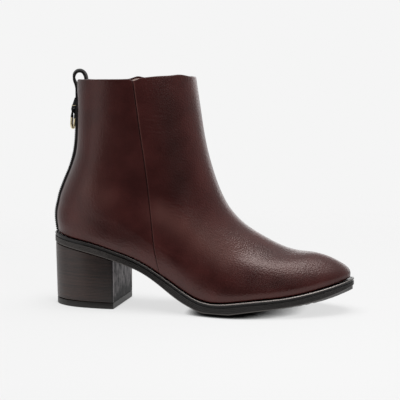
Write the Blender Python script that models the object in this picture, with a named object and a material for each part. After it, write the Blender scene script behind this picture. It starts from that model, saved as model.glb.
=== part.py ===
"""Right ankle boot: leather upper with a centre-back zip, welt, ribbed outsole and block heel.

Tables and sizes are in millimetres, the scene in metres. X runs from heel to toe, Z is up and
the wearer's inner side is +Y. The boot stands on its heel and on the flat of its forefoot.
"""
import math

import bpy
import numpy as np

# Overall sizes
MM = 0.001
GAP = 0.3
WALL = 1.8
SIDE_STEPS = 28
RISE_STEPS = 24

# Sole sizes
WELT_THICK = 2.6
WELT_BREAK_IN = 0.35
WELT_BREAK_DOWN = 0.5
INSOLE_THICK = 2.6
INSOLE_CLEARANCE = 0.36
SOLE_FOOT_IN = 0.9
SOLE_FOOT_SHARE = 0.16
CROWN = 2.0
CROWN_FROM_X = 95.0
CROWN_FULL_X = 130.0
FLAT_SHARE = 0.62
GROOVES = 3
GROOVE_DEPTH = 0.45
GROOVE_FIRST_SHARE = 0.30
GROOVE_PITCH_SHARE = 0.22
GROOVE_SLOPE_SHARE = 0.04
GROOVE_FLOOR_SHARE = 0.05

# Heel sizes
HEEL_BACK_X = 4.2
HEEL_BREAST_X = 59.4
HEEL_HALF_SIZE = 28.0
HEEL_FOOT_GROW = 0.05
HEEL_SEAT_GROW = 0.45
TOP_PIECE_HEIGHT = 4.9
TOP_PIECE_BREAK_IN = 0.35
TOP_PIECE_BREAK_UP = 0.6
HEEL_STEPS = 16

# Zip and loop sizes
ZIP_HALF_WIDTH = 4.5
ZIP_THICK = 1.5
ZIP_FROM_Z = 61.4
ZIP_TO_Z = 166.0
SLIDER_HALF_WIDTH = 2.4
SLIDER_HINGE_Z = 161.2
SLIDER_GAP = 0.4
LUG_HOLE = 1.0
PULL_LENGTH = 16.6
PULL_HALF_WIDTH = 4.2
PULL_CORNER = 1.7
PULL_WIRE = 0.65
PULL_TILT_DEG = 4.0
WIRE_SIDES = 8
CORNER_STEPS = 4
LOOP_HALF_WIDTH = 2.6
LOOP_THICK = 1.7

# Cuts in the collar: ring step of the side seams, depths there on the outer and inner side, and
# depths of the dip at the centre back, from its middle outwards
NOTCH_STEP = 15
NOTCH_OUTER = 1.8
NOTCH_INNER = 0.8
BACK_DIP = (5.0, 3.6, 1.4)

# Rise of the collar's edge: share of the length, outer side, inner side
COLLAR_EDGE = [
    (0.0, -1.2, -1.2), (0.1, -1.1, -2.6), (0.27, -0.8, -2.8), (0.36, -0.7, -1.6), (0.41, -0.65, -0.2),
    (0.46, -0.6, -1.0), (0.52, -0.4, -1.6), (0.6, 0.2, -1.6), (0.68, 0.95, -1.0), (0.79, 1.85, -0.4),
    (0.86, 2.2, 0.1), (0.92, 2.7, 0.4), (1.0, 0.3, 0.3),
]

# Height of the welt's top face along the boot: x, z
SOLE_TOP = [
    (0, 60.2), (20, 56.6), (40, 53.2), (60, 47.6), (80, 40.6), (100, 29.8), (115, 20.9),
    (130, 13.2), (145, 10.0), (160, 11.1), (180, 14.0), (200, 16.9), (220, 20.9), (235, 24.6),
    (250, 29.2),
]

# Height of the outsole's underside along its middle: x, z. Below zero it is cut flat at zero.
SOLE_BOTTOM = [
    (0, 52.0), (20, 48.8), (40, 44.9), (60, 39.7), (70, 36.4), (80, 32.7), (90, 27.5), (100, 20.8),
    (110, 13.0), (120, 6.3), (128, 2.4), (136, 0.0), (145, -1.1), (155, -0.2), (165, 1.7),
    (180, 4.2), (200, 6.7), (220, 10.0), (235, 14.0), (250, 19.5),
]

# How far the sole stands out from the upper: share of the length, offset
SOLE_LEDGE = [(0.0, 3.0), (0.08, 1.7), (0.4, 1.6), (0.65, 2.3), (0.9, 2.5), (1.0, 3.2)]

# Sideways bend of the foot's middle line: share of the length, offset to the inner side
SWING = [(0.0, 0.0), (0.15, 0.0), (0.4, -4.6), (0.6, -1.5), (0.75, 2.5), (1.0, 8.5)]

# Sections of the upper from the sole's edge up to the collar. Each is a closed loop round the
# foot. back and front are its end points on the middle line, sag is its share of the sole's dip
# and swing its share of the sideways bend. heel, waist, ball and vamp are half widths at the
# stations below. back_round and front_round set how full the two ends are. The columns are
# back_x, back_z, front_x, front_z, sag, swing, back_round, heel, waist, ball, vamp, front_round.
STATIONS = (0.0, 0.15, 0.4, 0.65, 0.88, 1.0)
UPPER_SECTIONS = [
    (5.7, 60.5, 246.4, 28.6, 1.00, 1.00, 54.0, 28.3, 27.0, 42.0, 28.3, 40.0),
    (5.1, 64.5, 246.6, 31.8, 0.98, 1.00, 54.0, 29.8, 28.6, 43.3, 29.8, 42.0),
    (4.6, 69.0, 244.4, 35.4, 0.94, 1.00, 54.0, 30.6, 29.6, 43.2, 29.6, 41.0),
    (4.5, 73.5, 239.4, 38.9, 0.87, 0.97, 53.0, 30.9, 30.4, 42.3, 28.4, 37.0),
    (5.1, 78.5, 230.2, 43.4, 0.78, 0.92, 52.0, 31.0, 30.9, 40.4, 26.2, 32.0),
    (6.5, 84.0, 215.3, 47.1, 0.68, 0.85, 51.0, 31.0, 31.2, 37.8, 24.6, 28.0),
    (7.8, 89.5, 198.7, 48.5, 0.57, 0.75, 50.0, 31.0, 31.3, 35.6, 25.2, 28.0),
    (10.0, 95.5, 181.3, 56.4, 0.45, 0.62, 48.0, 30.9, 31.3, 33.6, 24.8, 32.0),
    (12.9, 102.5, 165.2, 65.7, 0.33, 0.48, 46.0, 30.6, 31.2, 32.2, 23.6, 32.0),
    (16.5, 110.5, 151.9, 77.8, 0.22, 0.34, 43.5, 29.8, 31.2, 31.2, 22.3, 31.5),
    (19.5, 119.5, 142.9, 92.2, 0.12, 0.20, 41.0, 28.8, 31.4, 30.6, 21.4, 31.0),
    (21.9, 131.0, 135.4, 111.8, 0.05, 0.10, 39.0, 27.6, 32.2, 30.8, 21.2, 31.5),
    (23.0, 148.0, 128.7, 138.6, 0.00, 0.03, 37.5, 26.4, 33.4, 31.6, 21.6, 33.0),
    (23.0, 167.0, 124.6, 165.0, 0.00, 0.00, 36.5, 25.7, 34.3, 32.6, 22.4, 34.4),
    (23.3, 186.0, 121.4, 186.6, 0.00, 0.00, 36.0, 25.4, 34.7, 33.2, 22.8, 35.0),
]

# Half width of the heel at the floor: x, half width. The first row is the rounded back.
HEEL_HALF_WIDTH = [
    (4.2, 0.0), (5.4, 8.0), (9.9, 15.6), (17.4, 21.6), (26.2, 25.4), (36.5, 27.4), (47.0, 28.3),
    (59.4, 28.6),
]

# Middle line of the loop's band from the outer leg over the collar to the inner leg: x, z
LOOP_PATH = [
    (21.9, 168.2), (21.9, 173.0), (21.8, 177.2), (20.9, 180.4), (19.6, 183.4), (19.1, 186.3),
    (19.9, 189.1), (22.2, 191.0), (25.1, 191.2), (27.7, 189.7), (29.3, 186.6), (29.6, 183.0),
    (28.8, 179.0), (27.3, 175.4), (26.3, 171.6), (26.1, 167.6),
]

# Side of the slider round its hinge hole: inwards, upwards
SLIDER_PROFILE = [
    (1.9, 0.0), (1.9, 2.4), (1.9, 8.2), (1.3, 8.2), (-1.2, 3.4), (-1.9, 2.2),
    (-1.9, 0.0), (-1.9, -2.2), (-0.8, -3.6), (0.9, -5.4), (1.9, -5.4), (1.9, -2.8),
]


def spline(knots, values, at):
    """Smooth curve through values at knots; values may have columns."""
    knots = np.asarray(knots, float)
    values = np.asarray(values, float)
    at = np.asarray(at, float)
    count = len(knots)
    step = np.diff(knots)
    matrix = np.eye(count)
    right = np.zeros(values.shape)
    for i in range(1, count - 1):
        matrix[i, i - 1:i + 2] = step[i - 1], 2 * (step[i - 1] + step[i]), step[i]
        right[i] = 6 * ((values[i + 1] - values[i]) / step[i] - (values[i] - values[i - 1]) / step[i - 1])
    bend = np.linalg.solve(matrix, right)
    i = np.clip(np.searchsorted(knots, at, side="right") - 1, 0, count - 2)
    before = at - knots[i]
    after = knots[i + 1] - at
    wide = step[i]
    if values.ndim > 1:
        before, after, wide = before[..., None], after[..., None], wide[..., None]
    curve = (bend[i] * after ** 3 + bend[i + 1] * before ** 3) / (6 * wide)
    curve = curve + (values[i] / wide - bend[i] * wide / 6) * after
    return curve + (values[i + 1] / wide - bend[i + 1] * wide / 6) * before


def along(table, at):
    rows = np.array(table, float)
    return spline(rows[:, 0], rows[:, 1], at)


def sole_top(x):
    return along(SOLE_TOP, x)


def sole_bottom(x):
    return np.maximum(along(SOLE_BOTTOM, x), 0.0)


def crown(x):
    share = np.clip((np.asarray(x, float) - CROWN_FROM_X) / (CROWN_FULL_X - CROWN_FROM_X), 0, 1)
    return CROWN * share * share * (3 - 2 * share)


def end_factor(t):
    return 2 * np.sqrt(np.clip(t * (1 - t), 0, None))


def upper_rows(level):
    table = np.array(UPPER_SECTIONS, float)
    return spline(np.arange(len(table)), table, np.asarray(level, float) * (len(table) - 1))


def upper_side(level, t):
    """x, z, middle line and half width of the upper at levels 0 to 1 and shares t of the length."""
    rows = upper_rows(np.atleast_1d(level))
    t = np.atleast_1d(t)[None, :]
    back_x, back_z, front_x, front_z, sag, swing = [rows[:, i][:, None] for i in range(6)]
    x = back_x + t * (front_x - back_x)
    foot = UPPER_SECTIONS[0]
    foot_x = foot[0] + t * (foot[2] - foot[0])
    dip = sole_top(foot_x) - (foot[1] + t * (foot[3] - foot[1]))
    dip = dip - (1 - t) * dip[:, :1] - t * dip[:, -1:]
    z = back_z + t * (front_z - back_z) + sag * dip
    factor = end_factor(np.array(STATIONS))
    factor[0] = factor[-1] = 1
    width = np.array([spline(STATIONS, row[6:12] / factor, t[0]) for row in rows]) * end_factor(t)
    middle = swing * along(SWING, t[0])[None, :]
    return x, z, middle, width


def side_shares():
    return (1 - np.cos(np.pi * np.arange(SIDE_STEPS + 1) / SIDE_STEPS)) / 2


def ring_of(outer_side, inner_side):
    """Closed ring from points on the outer side, heel to toe, and on the inner side."""
    return np.concatenate([outer_side, inner_side[-2:0:-1]])


def foot_ring(offset):
    """Plan of the upper's lower edge, moved out by offset (a number or one per side step)."""
    t = side_shares()
    x, z, middle, width = upper_side(0.0, t)
    outer = np.stack([x[0], middle[0] - width[0]], 1)
    inner = np.stack([x[0], middle[0] + width[0]], 1)
    ring = ring_of(outer, inner)
    run = np.roll(ring, -1, 0) - np.roll(ring, 1, 0)
    normal = np.stack([run[:, 1], -run[:, 0]], 1)
    normal = normal / np.linalg.norm(normal, axis=1)[:, None]
    offset = np.broadcast_to(np.asarray(offset, float), t.shape)
    return ring + normal * ring_of(offset, offset)[:, None]


def lift(plan, heights):
    return np.column_stack([plan, heights])


pieces = []


def keep(name, points, faces, colour, rough, metal=0.0):
    pieces.append((name, np.asarray(points, float), faces, colour, rough, metal))


def walls(first, second, count):
    """Quads between two rings of point numbers, the second above the first."""
    faces = []
    for j in range(count):
        k = (j + 1) % count
        faces.append((first + j, first + k, second + k, second + j))
    return faces


def cap(rows, up):
    """Faces over rows of point numbers that run across the boot, ordered heel to toe."""
    faces = []
    for near, far in zip(rows[:-1], rows[1:]):
        if len(near) == 1:
            strip = [(near[0], far[m], far[m + 1]) for m in range(len(far) - 1)]
        elif len(far) == 1:
            strip = [(near[m], far[0], near[m + 1]) for m in range(len(near) - 1)]
        else:
            strip = [(near[m], far[m], far[m + 1], near[m + 1]) for m in range(len(near) - 1)]
        faces += strip if up else [face[::-1] for face in strip]
    return faces


def ring_rows(start, steps):
    """Rows across a pointed ring of point numbers that begins at start."""
    rows = [[start]]
    for k in range(1, steps):
        rows.append([start + k, start + 2 * steps - k])
    return rows + [[start + steps]]


def plate(name, rings, colour, rough, under=None):
    """Solid from rings stacked upwards. under(x) adds two inner lines to the lowest face."""
    count = 2 * SIDE_STEPS
    points = np.concatenate(rings)
    faces = []
    for i in range(len(rings) - 1):
        faces += walls(i * count, (i + 1) * count, count)
    faces += cap(ring_rows((len(rings) - 1) * count, SIDE_STEPS), True)
    rows = ring_rows(0, SIDE_STEPS)
    if under is not None:
        extra = []
        for row in rows[1:-1]:
            first, last = rings[0][row[0]], rings[0][row[1]]
            numbers = []
            for share in (0.5 - FLAT_SHARE / 2, 0.5 + FLAT_SHARE / 2):
                point = first + share * (last - first)
                point[2] = under(point[0])
                numbers.append(len(points) + len(extra))
                extra.append(point)
            row[1:1] = numbers
        points = np.concatenate([points, np.array(extra)])
    faces += cap(rows, False)
    keep(name, points, faces, colour, rough)


# Upper: a leather shell with lining, open at the collar and underneath
shares = side_shares()
levels = np.linspace(0, 1, RISE_STEPS + 1)
side_x, side_z, side_mid, side_width = upper_side(levels, shares)
shell = []
for i in range(RISE_STEPS + 1):
    outer_edge = np.stack([side_x[i], side_mid[i] - side_width[i], side_z[i]], 1)
    inner_edge = np.stack([side_x[i], side_mid[i] + side_width[i], side_z[i]], 1)
    shell.append(ring_of(outer_edge, inner_edge))
shell = np.array(shell)
across = np.roll(shell, -1, 1) - np.roll(shell, 1, 1)
normals = np.cross(across, np.gradient(shell, axis=0))
normals = normals / np.linalg.norm(normals, axis=2)[..., None]
lining = shell - WALL * normals
lining[-1, :, 2] = shell[-1, :, 2]
shell[0, :, 2] = sole_top(shell[0, :, 0]) + GAP
lining[0, :, :2] = foot_ring(-WALL)
lining[0, :, 2] = sole_top(lining[0, :, 0]) + GAP
collar = np.array(COLLAR_EDGE)
rise = ring_of(spline(collar[:, 0], collar[:, 1], shares), spline(collar[:, 0], collar[:, 2], shares))
shell[-1, :, 2] += rise
lining[-1, :, 2] += rise
collar_cuts = {NOTCH_STEP: NOTCH_OUTER, -NOTCH_STEP: NOTCH_INNER}
for step, depth in enumerate(BACK_DIP):
    collar_cuts[step] = depth
    collar_cuts[-step] = depth
for place, depth in collar_cuts.items():
    shell[-1, place, 2] -= depth
    lining[-1, place, 2] -= depth
ring_count = 2 * SIDE_STEPS
half = ring_count * (RISE_STEPS + 1)
upper_faces = []
for i in range(RISE_STEPS):
    low, high = i * ring_count, (i + 1) * ring_count
    upper_faces += walls(low, high, ring_count)
    upper_faces += [face[::-1] for face in walls(half + low, half + high, ring_count)]
upper_faces += walls(RISE_STEPS * ring_count, half + RISE_STEPS * ring_count, ring_count)
upper_faces += [face[::-1] for face in walls(0, half, ring_count)]
keep("upper", np.concatenate([shell.reshape(-1, 3), lining.reshape(-1, 3)]), upper_faces,
     (0.052, 0.016, 0.014), 0.42)

# Insole: the board inside the upper
board = foot_ring(-WALL - INSOLE_CLEARANCE)
board_z = sole_top(board[:, 0]) + GAP
plate("insole", [lift(board, board_z), lift(board, board_z + INSOLE_THICK)], (0.45, 0.33, 0.26), 0.7)

# Welt: the thin strip under the upper's edge
ledge = along(SOLE_LEDGE, shares)
edge = foot_ring(ledge)
inset = foot_ring(ledge - WELT_BREAK_IN)
edge_top = sole_top(edge[:, 0])
plate("welt", [lift(edge, edge_top - WELT_THICK), lift(edge, edge_top - WELT_BREAK_DOWN),
               lift(inset, sole_top(inset[:, 0]))], (0.03, 0.03, 0.03), 0.5)

# Outsole: arch, toe spring, crowned forefoot with a flat spot, and grooves round its side
steps_up = [(0.0, SOLE_FOOT_IN), (SOLE_FOOT_SHARE, 0.0)]
for groove in range(GROOVES):
    share = GROOVE_FIRST_SHARE + groove * GROOVE_PITCH_SHARE
    for step, depth in ((0.0, 0.0), (GROOVE_SLOPE_SHARE, GROOVE_DEPTH),
                        (GROOVE_FLOOR_SHARE, GROOVE_DEPTH), (GROOVE_SLOPE_SHARE, 0.0)):
        share += step
        steps_up.append((share, depth))
steps_up.append((1.0, 0.0))
sole_rings = []
for share, depth in steps_up:
    rim = foot_ring(ledge - depth)
    foot = sole_bottom(rim[:, 0]) + crown(rim[:, 0])
    head = sole_top(rim[:, 0]) - WELT_THICK - GAP
    sole_rings.append(lift(rim, foot + share * (head - foot)))
plate("outsole", sole_rings, (0.022, 0.022, 0.022), 0.6, under=sole_bottom)

# Heel: a stacked block, D shaped in plan, with its wear lift
rows = np.array(HEEL_HALF_WIDTH)
heel_share = 1 - np.cos(np.pi / 2 * np.arange(HEEL_STEPS + 1) / HEEL_STEPS)
heel_x = HEEL_BACK_X + (HEEL_BREAST_X - HEEL_BACK_X) * heel_share
heel_reach = np.sqrt(np.maximum(rows[:, 0] - HEEL_BACK_X, 0))
heel_y = spline(heel_reach, rows[:, 1], np.sqrt(heel_x - HEEL_BACK_X))


def heel_ring(grow, heights):
    outer = np.column_stack([heel_x, -heel_y])
    inner = np.column_stack([heel_x, heel_y])
    plan = np.concatenate([outer, inner[:0:-1]])
    centre = np.array([HEEL_BREAST_X, 0.0])
    plan = centre + (plan - centre) * (1 + grow / HEEL_HALF_SIZE)
    return lift(plan, heights(plan[:, 0]) if callable(heights) else np.full(len(plan), heights))


def heel_solid(name, rings, colour, rough):
    count = 2 * HEEL_STEPS + 1
    points = np.concatenate(rings)
    faces = []
    for i in range(len(rings) - 1):
        faces += walls(i * count, (i + 1) * count, count)
    for start, up in ((0, False), ((len(rings) - 1) * count, True)):
        numbers = [[start]] + [[start + k, start + count - k] for k in range(1, HEEL_STEPS + 1)]
        faces += cap(numbers, up)
    keep(name, points, faces, colour, rough)


heel_solid("heel_block", [heel_ring(HEEL_FOOT_GROW, TOP_PIECE_HEIGHT + GAP),
                          heel_ring(HEEL_SEAT_GROW, lambda x: sole_bottom(x) - GAP)],
           (0.05, 0.032, 0.026), 0.45)
heel_solid("top_piece", [heel_ring(-TOP_PIECE_BREAK_IN, 0.0), heel_ring(0.0, TOP_PIECE_BREAK_UP),
                         heel_ring(0.0, TOP_PIECE_HEIGHT)], (0.02, 0.02, 0.02), 0.6)

# Zip: the woven strip with its teeth, lying on the back of the upper
back_rows = upper_rows(levels)
back_line = back_rows[:, :2]
inside = [row for row in back_line if ZIP_FROM_Z + 1 < row[1] < ZIP_TO_Z - 1]
zip_foot, zip_head = [(np.interp(z, back_line[:, 1], back_line[:, 0]), z) for z in (ZIP_FROM_Z, ZIP_TO_Z)]
zip_centre = np.array([zip_foot, *inside, zip_head])
zip_run = np.gradient(zip_centre, axis=0)
zip_run = zip_run / np.linalg.norm(zip_run, axis=1)[:, None]
zip_out = np.stack([-zip_run[:, 1], zip_run[:, 0]], 1)
zip_across = np.linspace(-1, 1, 5) * ZIP_HALF_WIDTH
zip_points = []
for i, centre in enumerate(zip_centre):
    level = np.interp(centre[1], back_line[:, 1], np.arange(RISE_STEPS + 1))
    full = np.interp(level, np.arange(RISE_STEPS + 1), back_rows[:, 6])
    length = np.interp(level, np.arange(RISE_STEPS + 1), back_rows[:, 2] - back_rows[:, 0])
    for layer in (GAP, GAP + ZIP_THICK):
        for y in zip_across:
            bend = length * (y / (2 * full)) ** 2
            spot = centre + zip_out[i] * layer + np.array([bend, 0.0])
            zip_points.append((spot[0], y, spot[1]))
zip_faces = []
wide = len(zip_across)
block = 2 * wide
for i in range(len(zip_centre) - 1):
    a, b = i * block, (i + 1) * block
    for m in range(wide - 1):
        zip_faces.append((a + m, a + m + 1, b + m + 1, b + m))
        zip_faces.append((a + wide + m, b + wide + m, b + wide + m + 1, a + wide + m + 1))
    zip_faces.append((a, b, b + wide, a + wide))
    zip_faces.append((a + wide - 1, a + block - 1, b + block - 1, b + wide - 1))
last = (len(zip_centre) - 1) * block
for m in range(wide - 1):
    zip_faces.append((m, m + wide, m + wide + 1, m + 1))
    zip_faces.append((last + m, last + m + 1, last + m + 1 + wide, last + m + wide))
keep("zip_tape", zip_points, zip_faces, (0.012, 0.012, 0.013), 0.75)

# Slider: a metal wedge on the zip with a hinge hole across the boot
slider_back = np.interp(SLIDER_HINGE_Z, back_line[:, 1], back_line[:, 0])
profile = np.array(SLIDER_PROFILE)
hinge_x = slider_back - GAP - ZIP_THICK - SLIDER_GAP - profile[:, 0].max()
angles = np.arctan2(profile[:, 1], profile[:, 0])
hole = LUG_HOLE * np.stack([np.cos(angles), np.sin(angles)], 1)
corner_count = len(profile)
slider_points = []
for y in (-SLIDER_HALF_WIDTH, SLIDER_HALF_WIDTH):
    for inward, upward in np.concatenate([profile, hole]):
        slider_points.append((hinge_x + inward, y, SLIDER_HINGE_Z + upward))
slider_faces = []
near, far = 0, 2 * corner_count
for k in range(corner_count):
    m = (k + 1) % corner_count
    slider_faces.append((near + k, near + m, near + corner_count + m, near + corner_count + k))
    slider_faces.append((far + k, far + corner_count + k, far + corner_count + m, far + m))
    slider_faces.append((near + k, far + k, far + m, near + m))
    slider_faces.append((near + corner_count + k, near + corner_count + m,
                         far + corner_count + m, far + corner_count + k))
keep("zip_slider", slider_points, slider_faces, (0.42, 0.29, 0.11), 0.3, 1.0)

# Pull: a closed wire frame through the slider's hole, hanging down the back
half_frame = []
for a in np.linspace(0, math.pi / 2, CORNER_STEPS + 1):
    half_frame.append((PULL_HALF_WIDTH - PULL_CORNER + PULL_CORNER * math.sin(a),
                       PULL_CORNER - PULL_CORNER * math.cos(a)))
for a in np.linspace(0, math.pi / 2, 2 * CORNER_STEPS + 1):
    half_frame.append((PULL_HALF_WIDTH * math.cos(a),
                       PULL_LENGTH - PULL_HALF_WIDTH + PULL_HALF_WIDTH * math.sin(a)))
half_frame = np.array(half_frame)
frame_line = np.concatenate([half_frame, (half_frame * (-1, 1))[-2::-1]])
frame_run = np.roll(frame_line, -1, 0) - np.roll(frame_line, 1, 0)
frame_run = frame_run / np.linalg.norm(frame_run, axis=1)[:, None]
tilt = math.radians(PULL_TILT_DEG)
down = np.array([-math.sin(tilt), 0.0, -math.cos(tilt)])
face_out = np.array([-math.cos(tilt), 0.0, math.sin(tilt)])
sideways = np.array([0.0, 1.0, 0.0])
pull_points = []
for spot, run in zip(frame_line, frame_run):
    centre = np.array([hinge_x, 0.0, SLIDER_HINGE_Z]) + spot[0] * sideways + spot[1] * down
    outward = run[1] * sideways - run[0] * down
    for k in range(WIRE_SIDES):
        a = 2 * math.pi * k / WIRE_SIDES
        pull_points.append(centre + PULL_WIRE * (math.cos(a) * outward + math.sin(a) * face_out))
pull_faces = []
wire_count = len(frame_line)
for i in range(wire_count):
    j = (i + 1) % wire_count
    for k in range(WIRE_SIDES):
        m = (k + 1) % WIRE_SIDES
        pull_faces.append((i * WIRE_SIDES + k, j * WIRE_SIDES + k, j * WIRE_SIDES + m, i * WIRE_SIDES + m))
keep("zip_pull", pull_points, pull_faces, (0.62, 0.43, 0.16), 0.25, 1.0)

# Loop: a band sewn outside and inside the collar at the back
path = np.array(LOOP_PATH)
band = spline(np.arange(len(path)), path, np.linspace(0, len(path) - 1, 2 * len(path) - 1))
band_run = np.gradient(band, axis=0)
band_run = band_run / np.linalg.norm(band_run, axis=1)[:, None]
loop_points = []
for spot, run in zip(band, band_run):
    out = np.array([-run[1], run[0]]) * LOOP_THICK / 2
    for y, sign in ((-1, 1), (1, 1), (1, -1), (-1, -1)):
        loop_points.append((spot[0] + sign * out[0], y * LOOP_HALF_WIDTH, spot[1] + sign * out[1]))
loop_faces = []
for i in range(len(band) - 1):
    for k in range(4):
        m = (k + 1) % 4
        loop_faces.append((4 * i + k, 4 * i + 4 + k, 4 * i + 4 + m, 4 * i + m))
end = 4 * (len(band) - 1)
loop_faces += [(0, 1, 2, 3), (end + 3, end + 2, end + 1, end)]
keep("pull_loop", loop_points, loop_faces, (0.012, 0.012, 0.013), 0.8)

# Put every piece in the scene, with the origin under the middle of the boot
for old in list(bpy.data.objects):
    bpy.data.objects.remove(old, do_unlink=True)
everything = np.concatenate([points for _, points, _, _, _, _ in pieces])
centre = (everything.min(0) + everything.max(0)) / 2
shift = np.array([centre[0], centre[1], everything[:, 2].min()])
root = bpy.data.objects.new("boot", None)
bpy.context.scene.collection.objects.link(root)
for name, points, faces, colour, rough, metal in pieces:
    mesh = bpy.data.meshes.new(name)
    mesh.from_pydata([tuple(float(c) for c in (point - shift) * MM) for point in points], [], faces)
    mesh.validate()
    mesh.update()
    material = bpy.data.materials.new(name + "_material")
    material.use_nodes = True
    shader = material.node_tree.nodes["Principled BSDF"]
    shader.inputs["Base Color"].default_value = (*colour, 1.0)
    shader.inputs["Roughness"].default_value = rough
    shader.inputs["Metallic"].default_value = metal
    mesh.materials.append(material)
    piece = bpy.data.objects.new(name, mesh)
    bpy.context.scene.collection.objects.link(piece)
    piece.parent = root
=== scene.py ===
import math

import bpy
import numpy as np
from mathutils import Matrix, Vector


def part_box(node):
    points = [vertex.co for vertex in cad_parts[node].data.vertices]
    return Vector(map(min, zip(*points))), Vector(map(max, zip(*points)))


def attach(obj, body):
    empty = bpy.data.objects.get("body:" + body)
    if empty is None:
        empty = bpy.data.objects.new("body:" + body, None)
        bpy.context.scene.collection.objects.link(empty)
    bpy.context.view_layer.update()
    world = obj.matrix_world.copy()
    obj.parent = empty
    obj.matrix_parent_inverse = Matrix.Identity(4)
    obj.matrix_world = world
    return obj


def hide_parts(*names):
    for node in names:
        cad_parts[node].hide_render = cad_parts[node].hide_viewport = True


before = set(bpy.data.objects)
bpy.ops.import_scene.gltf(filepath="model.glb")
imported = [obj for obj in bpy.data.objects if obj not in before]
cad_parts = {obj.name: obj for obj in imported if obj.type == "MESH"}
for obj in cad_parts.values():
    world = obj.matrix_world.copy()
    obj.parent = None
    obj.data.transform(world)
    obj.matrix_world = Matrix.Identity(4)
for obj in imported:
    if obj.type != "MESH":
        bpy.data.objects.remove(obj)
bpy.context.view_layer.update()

# Upper: the boot's leg and foot, smooth burgundy calf over a pale lining, about 1.8 mm in all.
# A front panel and two quarters meet in a raised seam on each side. The collar's edge is folded
# over and the lower edge is drawn in where it meets the sole. All sizes are millimetres.
MM = 0.001
WALL = 1.8
GAP = 0.3

# The boot's own frame starts behind the heel, on its middle line: x to the toe, z up, -y outwards
HEEL_BACK_X = 4.2
lift_low, lift_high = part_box("top_piece")
BOOT_ORIGIN = np.array([lift_low.x - HEEL_BACK_X * MM, (lift_low.y + lift_high.y) / 2, 0.0])

# Height of the welt's top face: x, z
SOLE_TOP = [
    (0, 60.2), (20, 56.6), (40, 53.2), (60, 47.6), (80, 40.6), (100, 29.8), (115, 20.9),
    (130, 13.4), (145, 10.8), (160, 12.0), (180, 14.3), (200, 16.1), (220, 19.6), (235, 23.3),
    (250, 27.7),
]

# Sideways bend of the foot's middle line: share of the length, offset to the inner side
SWING = [(0.0, 0.0), (0.15, 0.0), (0.4, -4.6), (0.6, -1.5), (0.75, 2.5), (1.0, 8.5)]

# Sections of the upper, sole to collar: the end points back_x, back_z, front_x and front_z, the
# shares sag and swing of the sole's dip and sideways bend, then the fullness of the back, half
# widths at heel, waist, ball and vamp, and the fullness of the front
STATIONS = np.array([0.0, 0.15, 0.4, 0.65, 0.88, 1.0])
UPPER_SECTIONS = np.array([
    (5.7, 60.5, 246.4, 28.6, 1, 1, 54, 28.3, 27, 42, 28.3, 40),
    (5.1, 64.5, 246.6, 31.8, 0.98, 1, 54, 29.8, 28.6, 43.3, 29.8, 42),
    (4.6, 69, 244.4, 35.4, 0.94, 1, 54, 30.6, 29.6, 43.2, 29.6, 41),
    (4.5, 73.5, 239.4, 38.9, 0.87, 0.97, 53, 30.9, 30.4, 42.3, 28.4, 37),
    (5.1, 78.5, 230.2, 43.4, 0.78, 0.92, 52, 31, 30.9, 40.4, 26.2, 32),
    (6.5, 84, 215.3, 47.1, 0.68, 0.85, 51, 31, 31.2, 37.8, 24.6, 28),
    (7.8, 89.5, 198.7, 48.5, 0.57, 0.75, 50, 31, 31.3, 35.6, 25.2, 28),
    (10, 95.5, 181.3, 56.4, 0.45, 0.62, 48, 30.9, 31.3, 33.6, 24.8, 32),
    (12.9, 102.5, 165.2, 65.7, 0.33, 0.48, 46, 30.6, 31.2, 32.2, 23.6, 32),
    (16.5, 110.5, 151.9, 77.8, 0.22, 0.34, 43.5, 29.8, 31.2, 31.2, 22.3, 31.5),
    (19.5, 119.5, 142.9, 92.2, 0.12, 0.2, 41, 28.8, 31.4, 30.6, 21.4, 31),
    (21.9, 131, 135.4, 111.8, 0.05, 0.1, 39, 27.6, 32.2, 30.8, 21.2, 31.5),
    (23, 148, 128.7, 138.6, 0, 0.03, 37.5, 26.4, 33.4, 31.6, 21.6, 33),
    (23, 167, 124.6, 165, 0, 0, 36.5, 25.7, 34.3, 32.6, 22.4, 34.4),
    (23.3, 186, 121.4, 186.6, 0, 0, 36, 25.4, 34.7, 33.2, 22.8, 35),
])

# Side seam from the sole to the collar: z, x
SIDE_SEAM = [(28, 100.1), (66, 94.1), (106, 89.3), (150, 83.5), (192, 78.9)]
SEAM_STRIP = np.array([-3, -2, -1.4, -1, -0.75, -0.5, -0.25, 0, 0.2, 0.4, 0.65, 1, 1.5, 2.2, 3])

# Rise of the collar's edge: share of the length, outer side, inner side
COLLAR_EDGE = [
    (0.0, -1.2, -1.2), (0.1, -1.1, -2.6), (0.27, -0.8, -2.8), (0.36, -0.7, -1.6), (0.41, -0.65, -0.2),
    (0.46, -0.6, -1.0), (0.52, -0.4, -1.6), (0.6, 0.2, -1.6), (0.68, 0.95, -1.0), (0.79, 1.85, -0.4),
    (0.86, 2.2, 0.1), (0.92, 2.7, 0.4), (1.0, 0.3, 0.3),
]
NOTCH_OUTER = 1.9
NOTCH_INNER = 0.8
NOTCH_BEHIND = 5.0
NOTCH_IN_FRONT = 7.5
BACK_DIP = 5.0
BACK_DIP_WIDTH = 7.0

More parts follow.
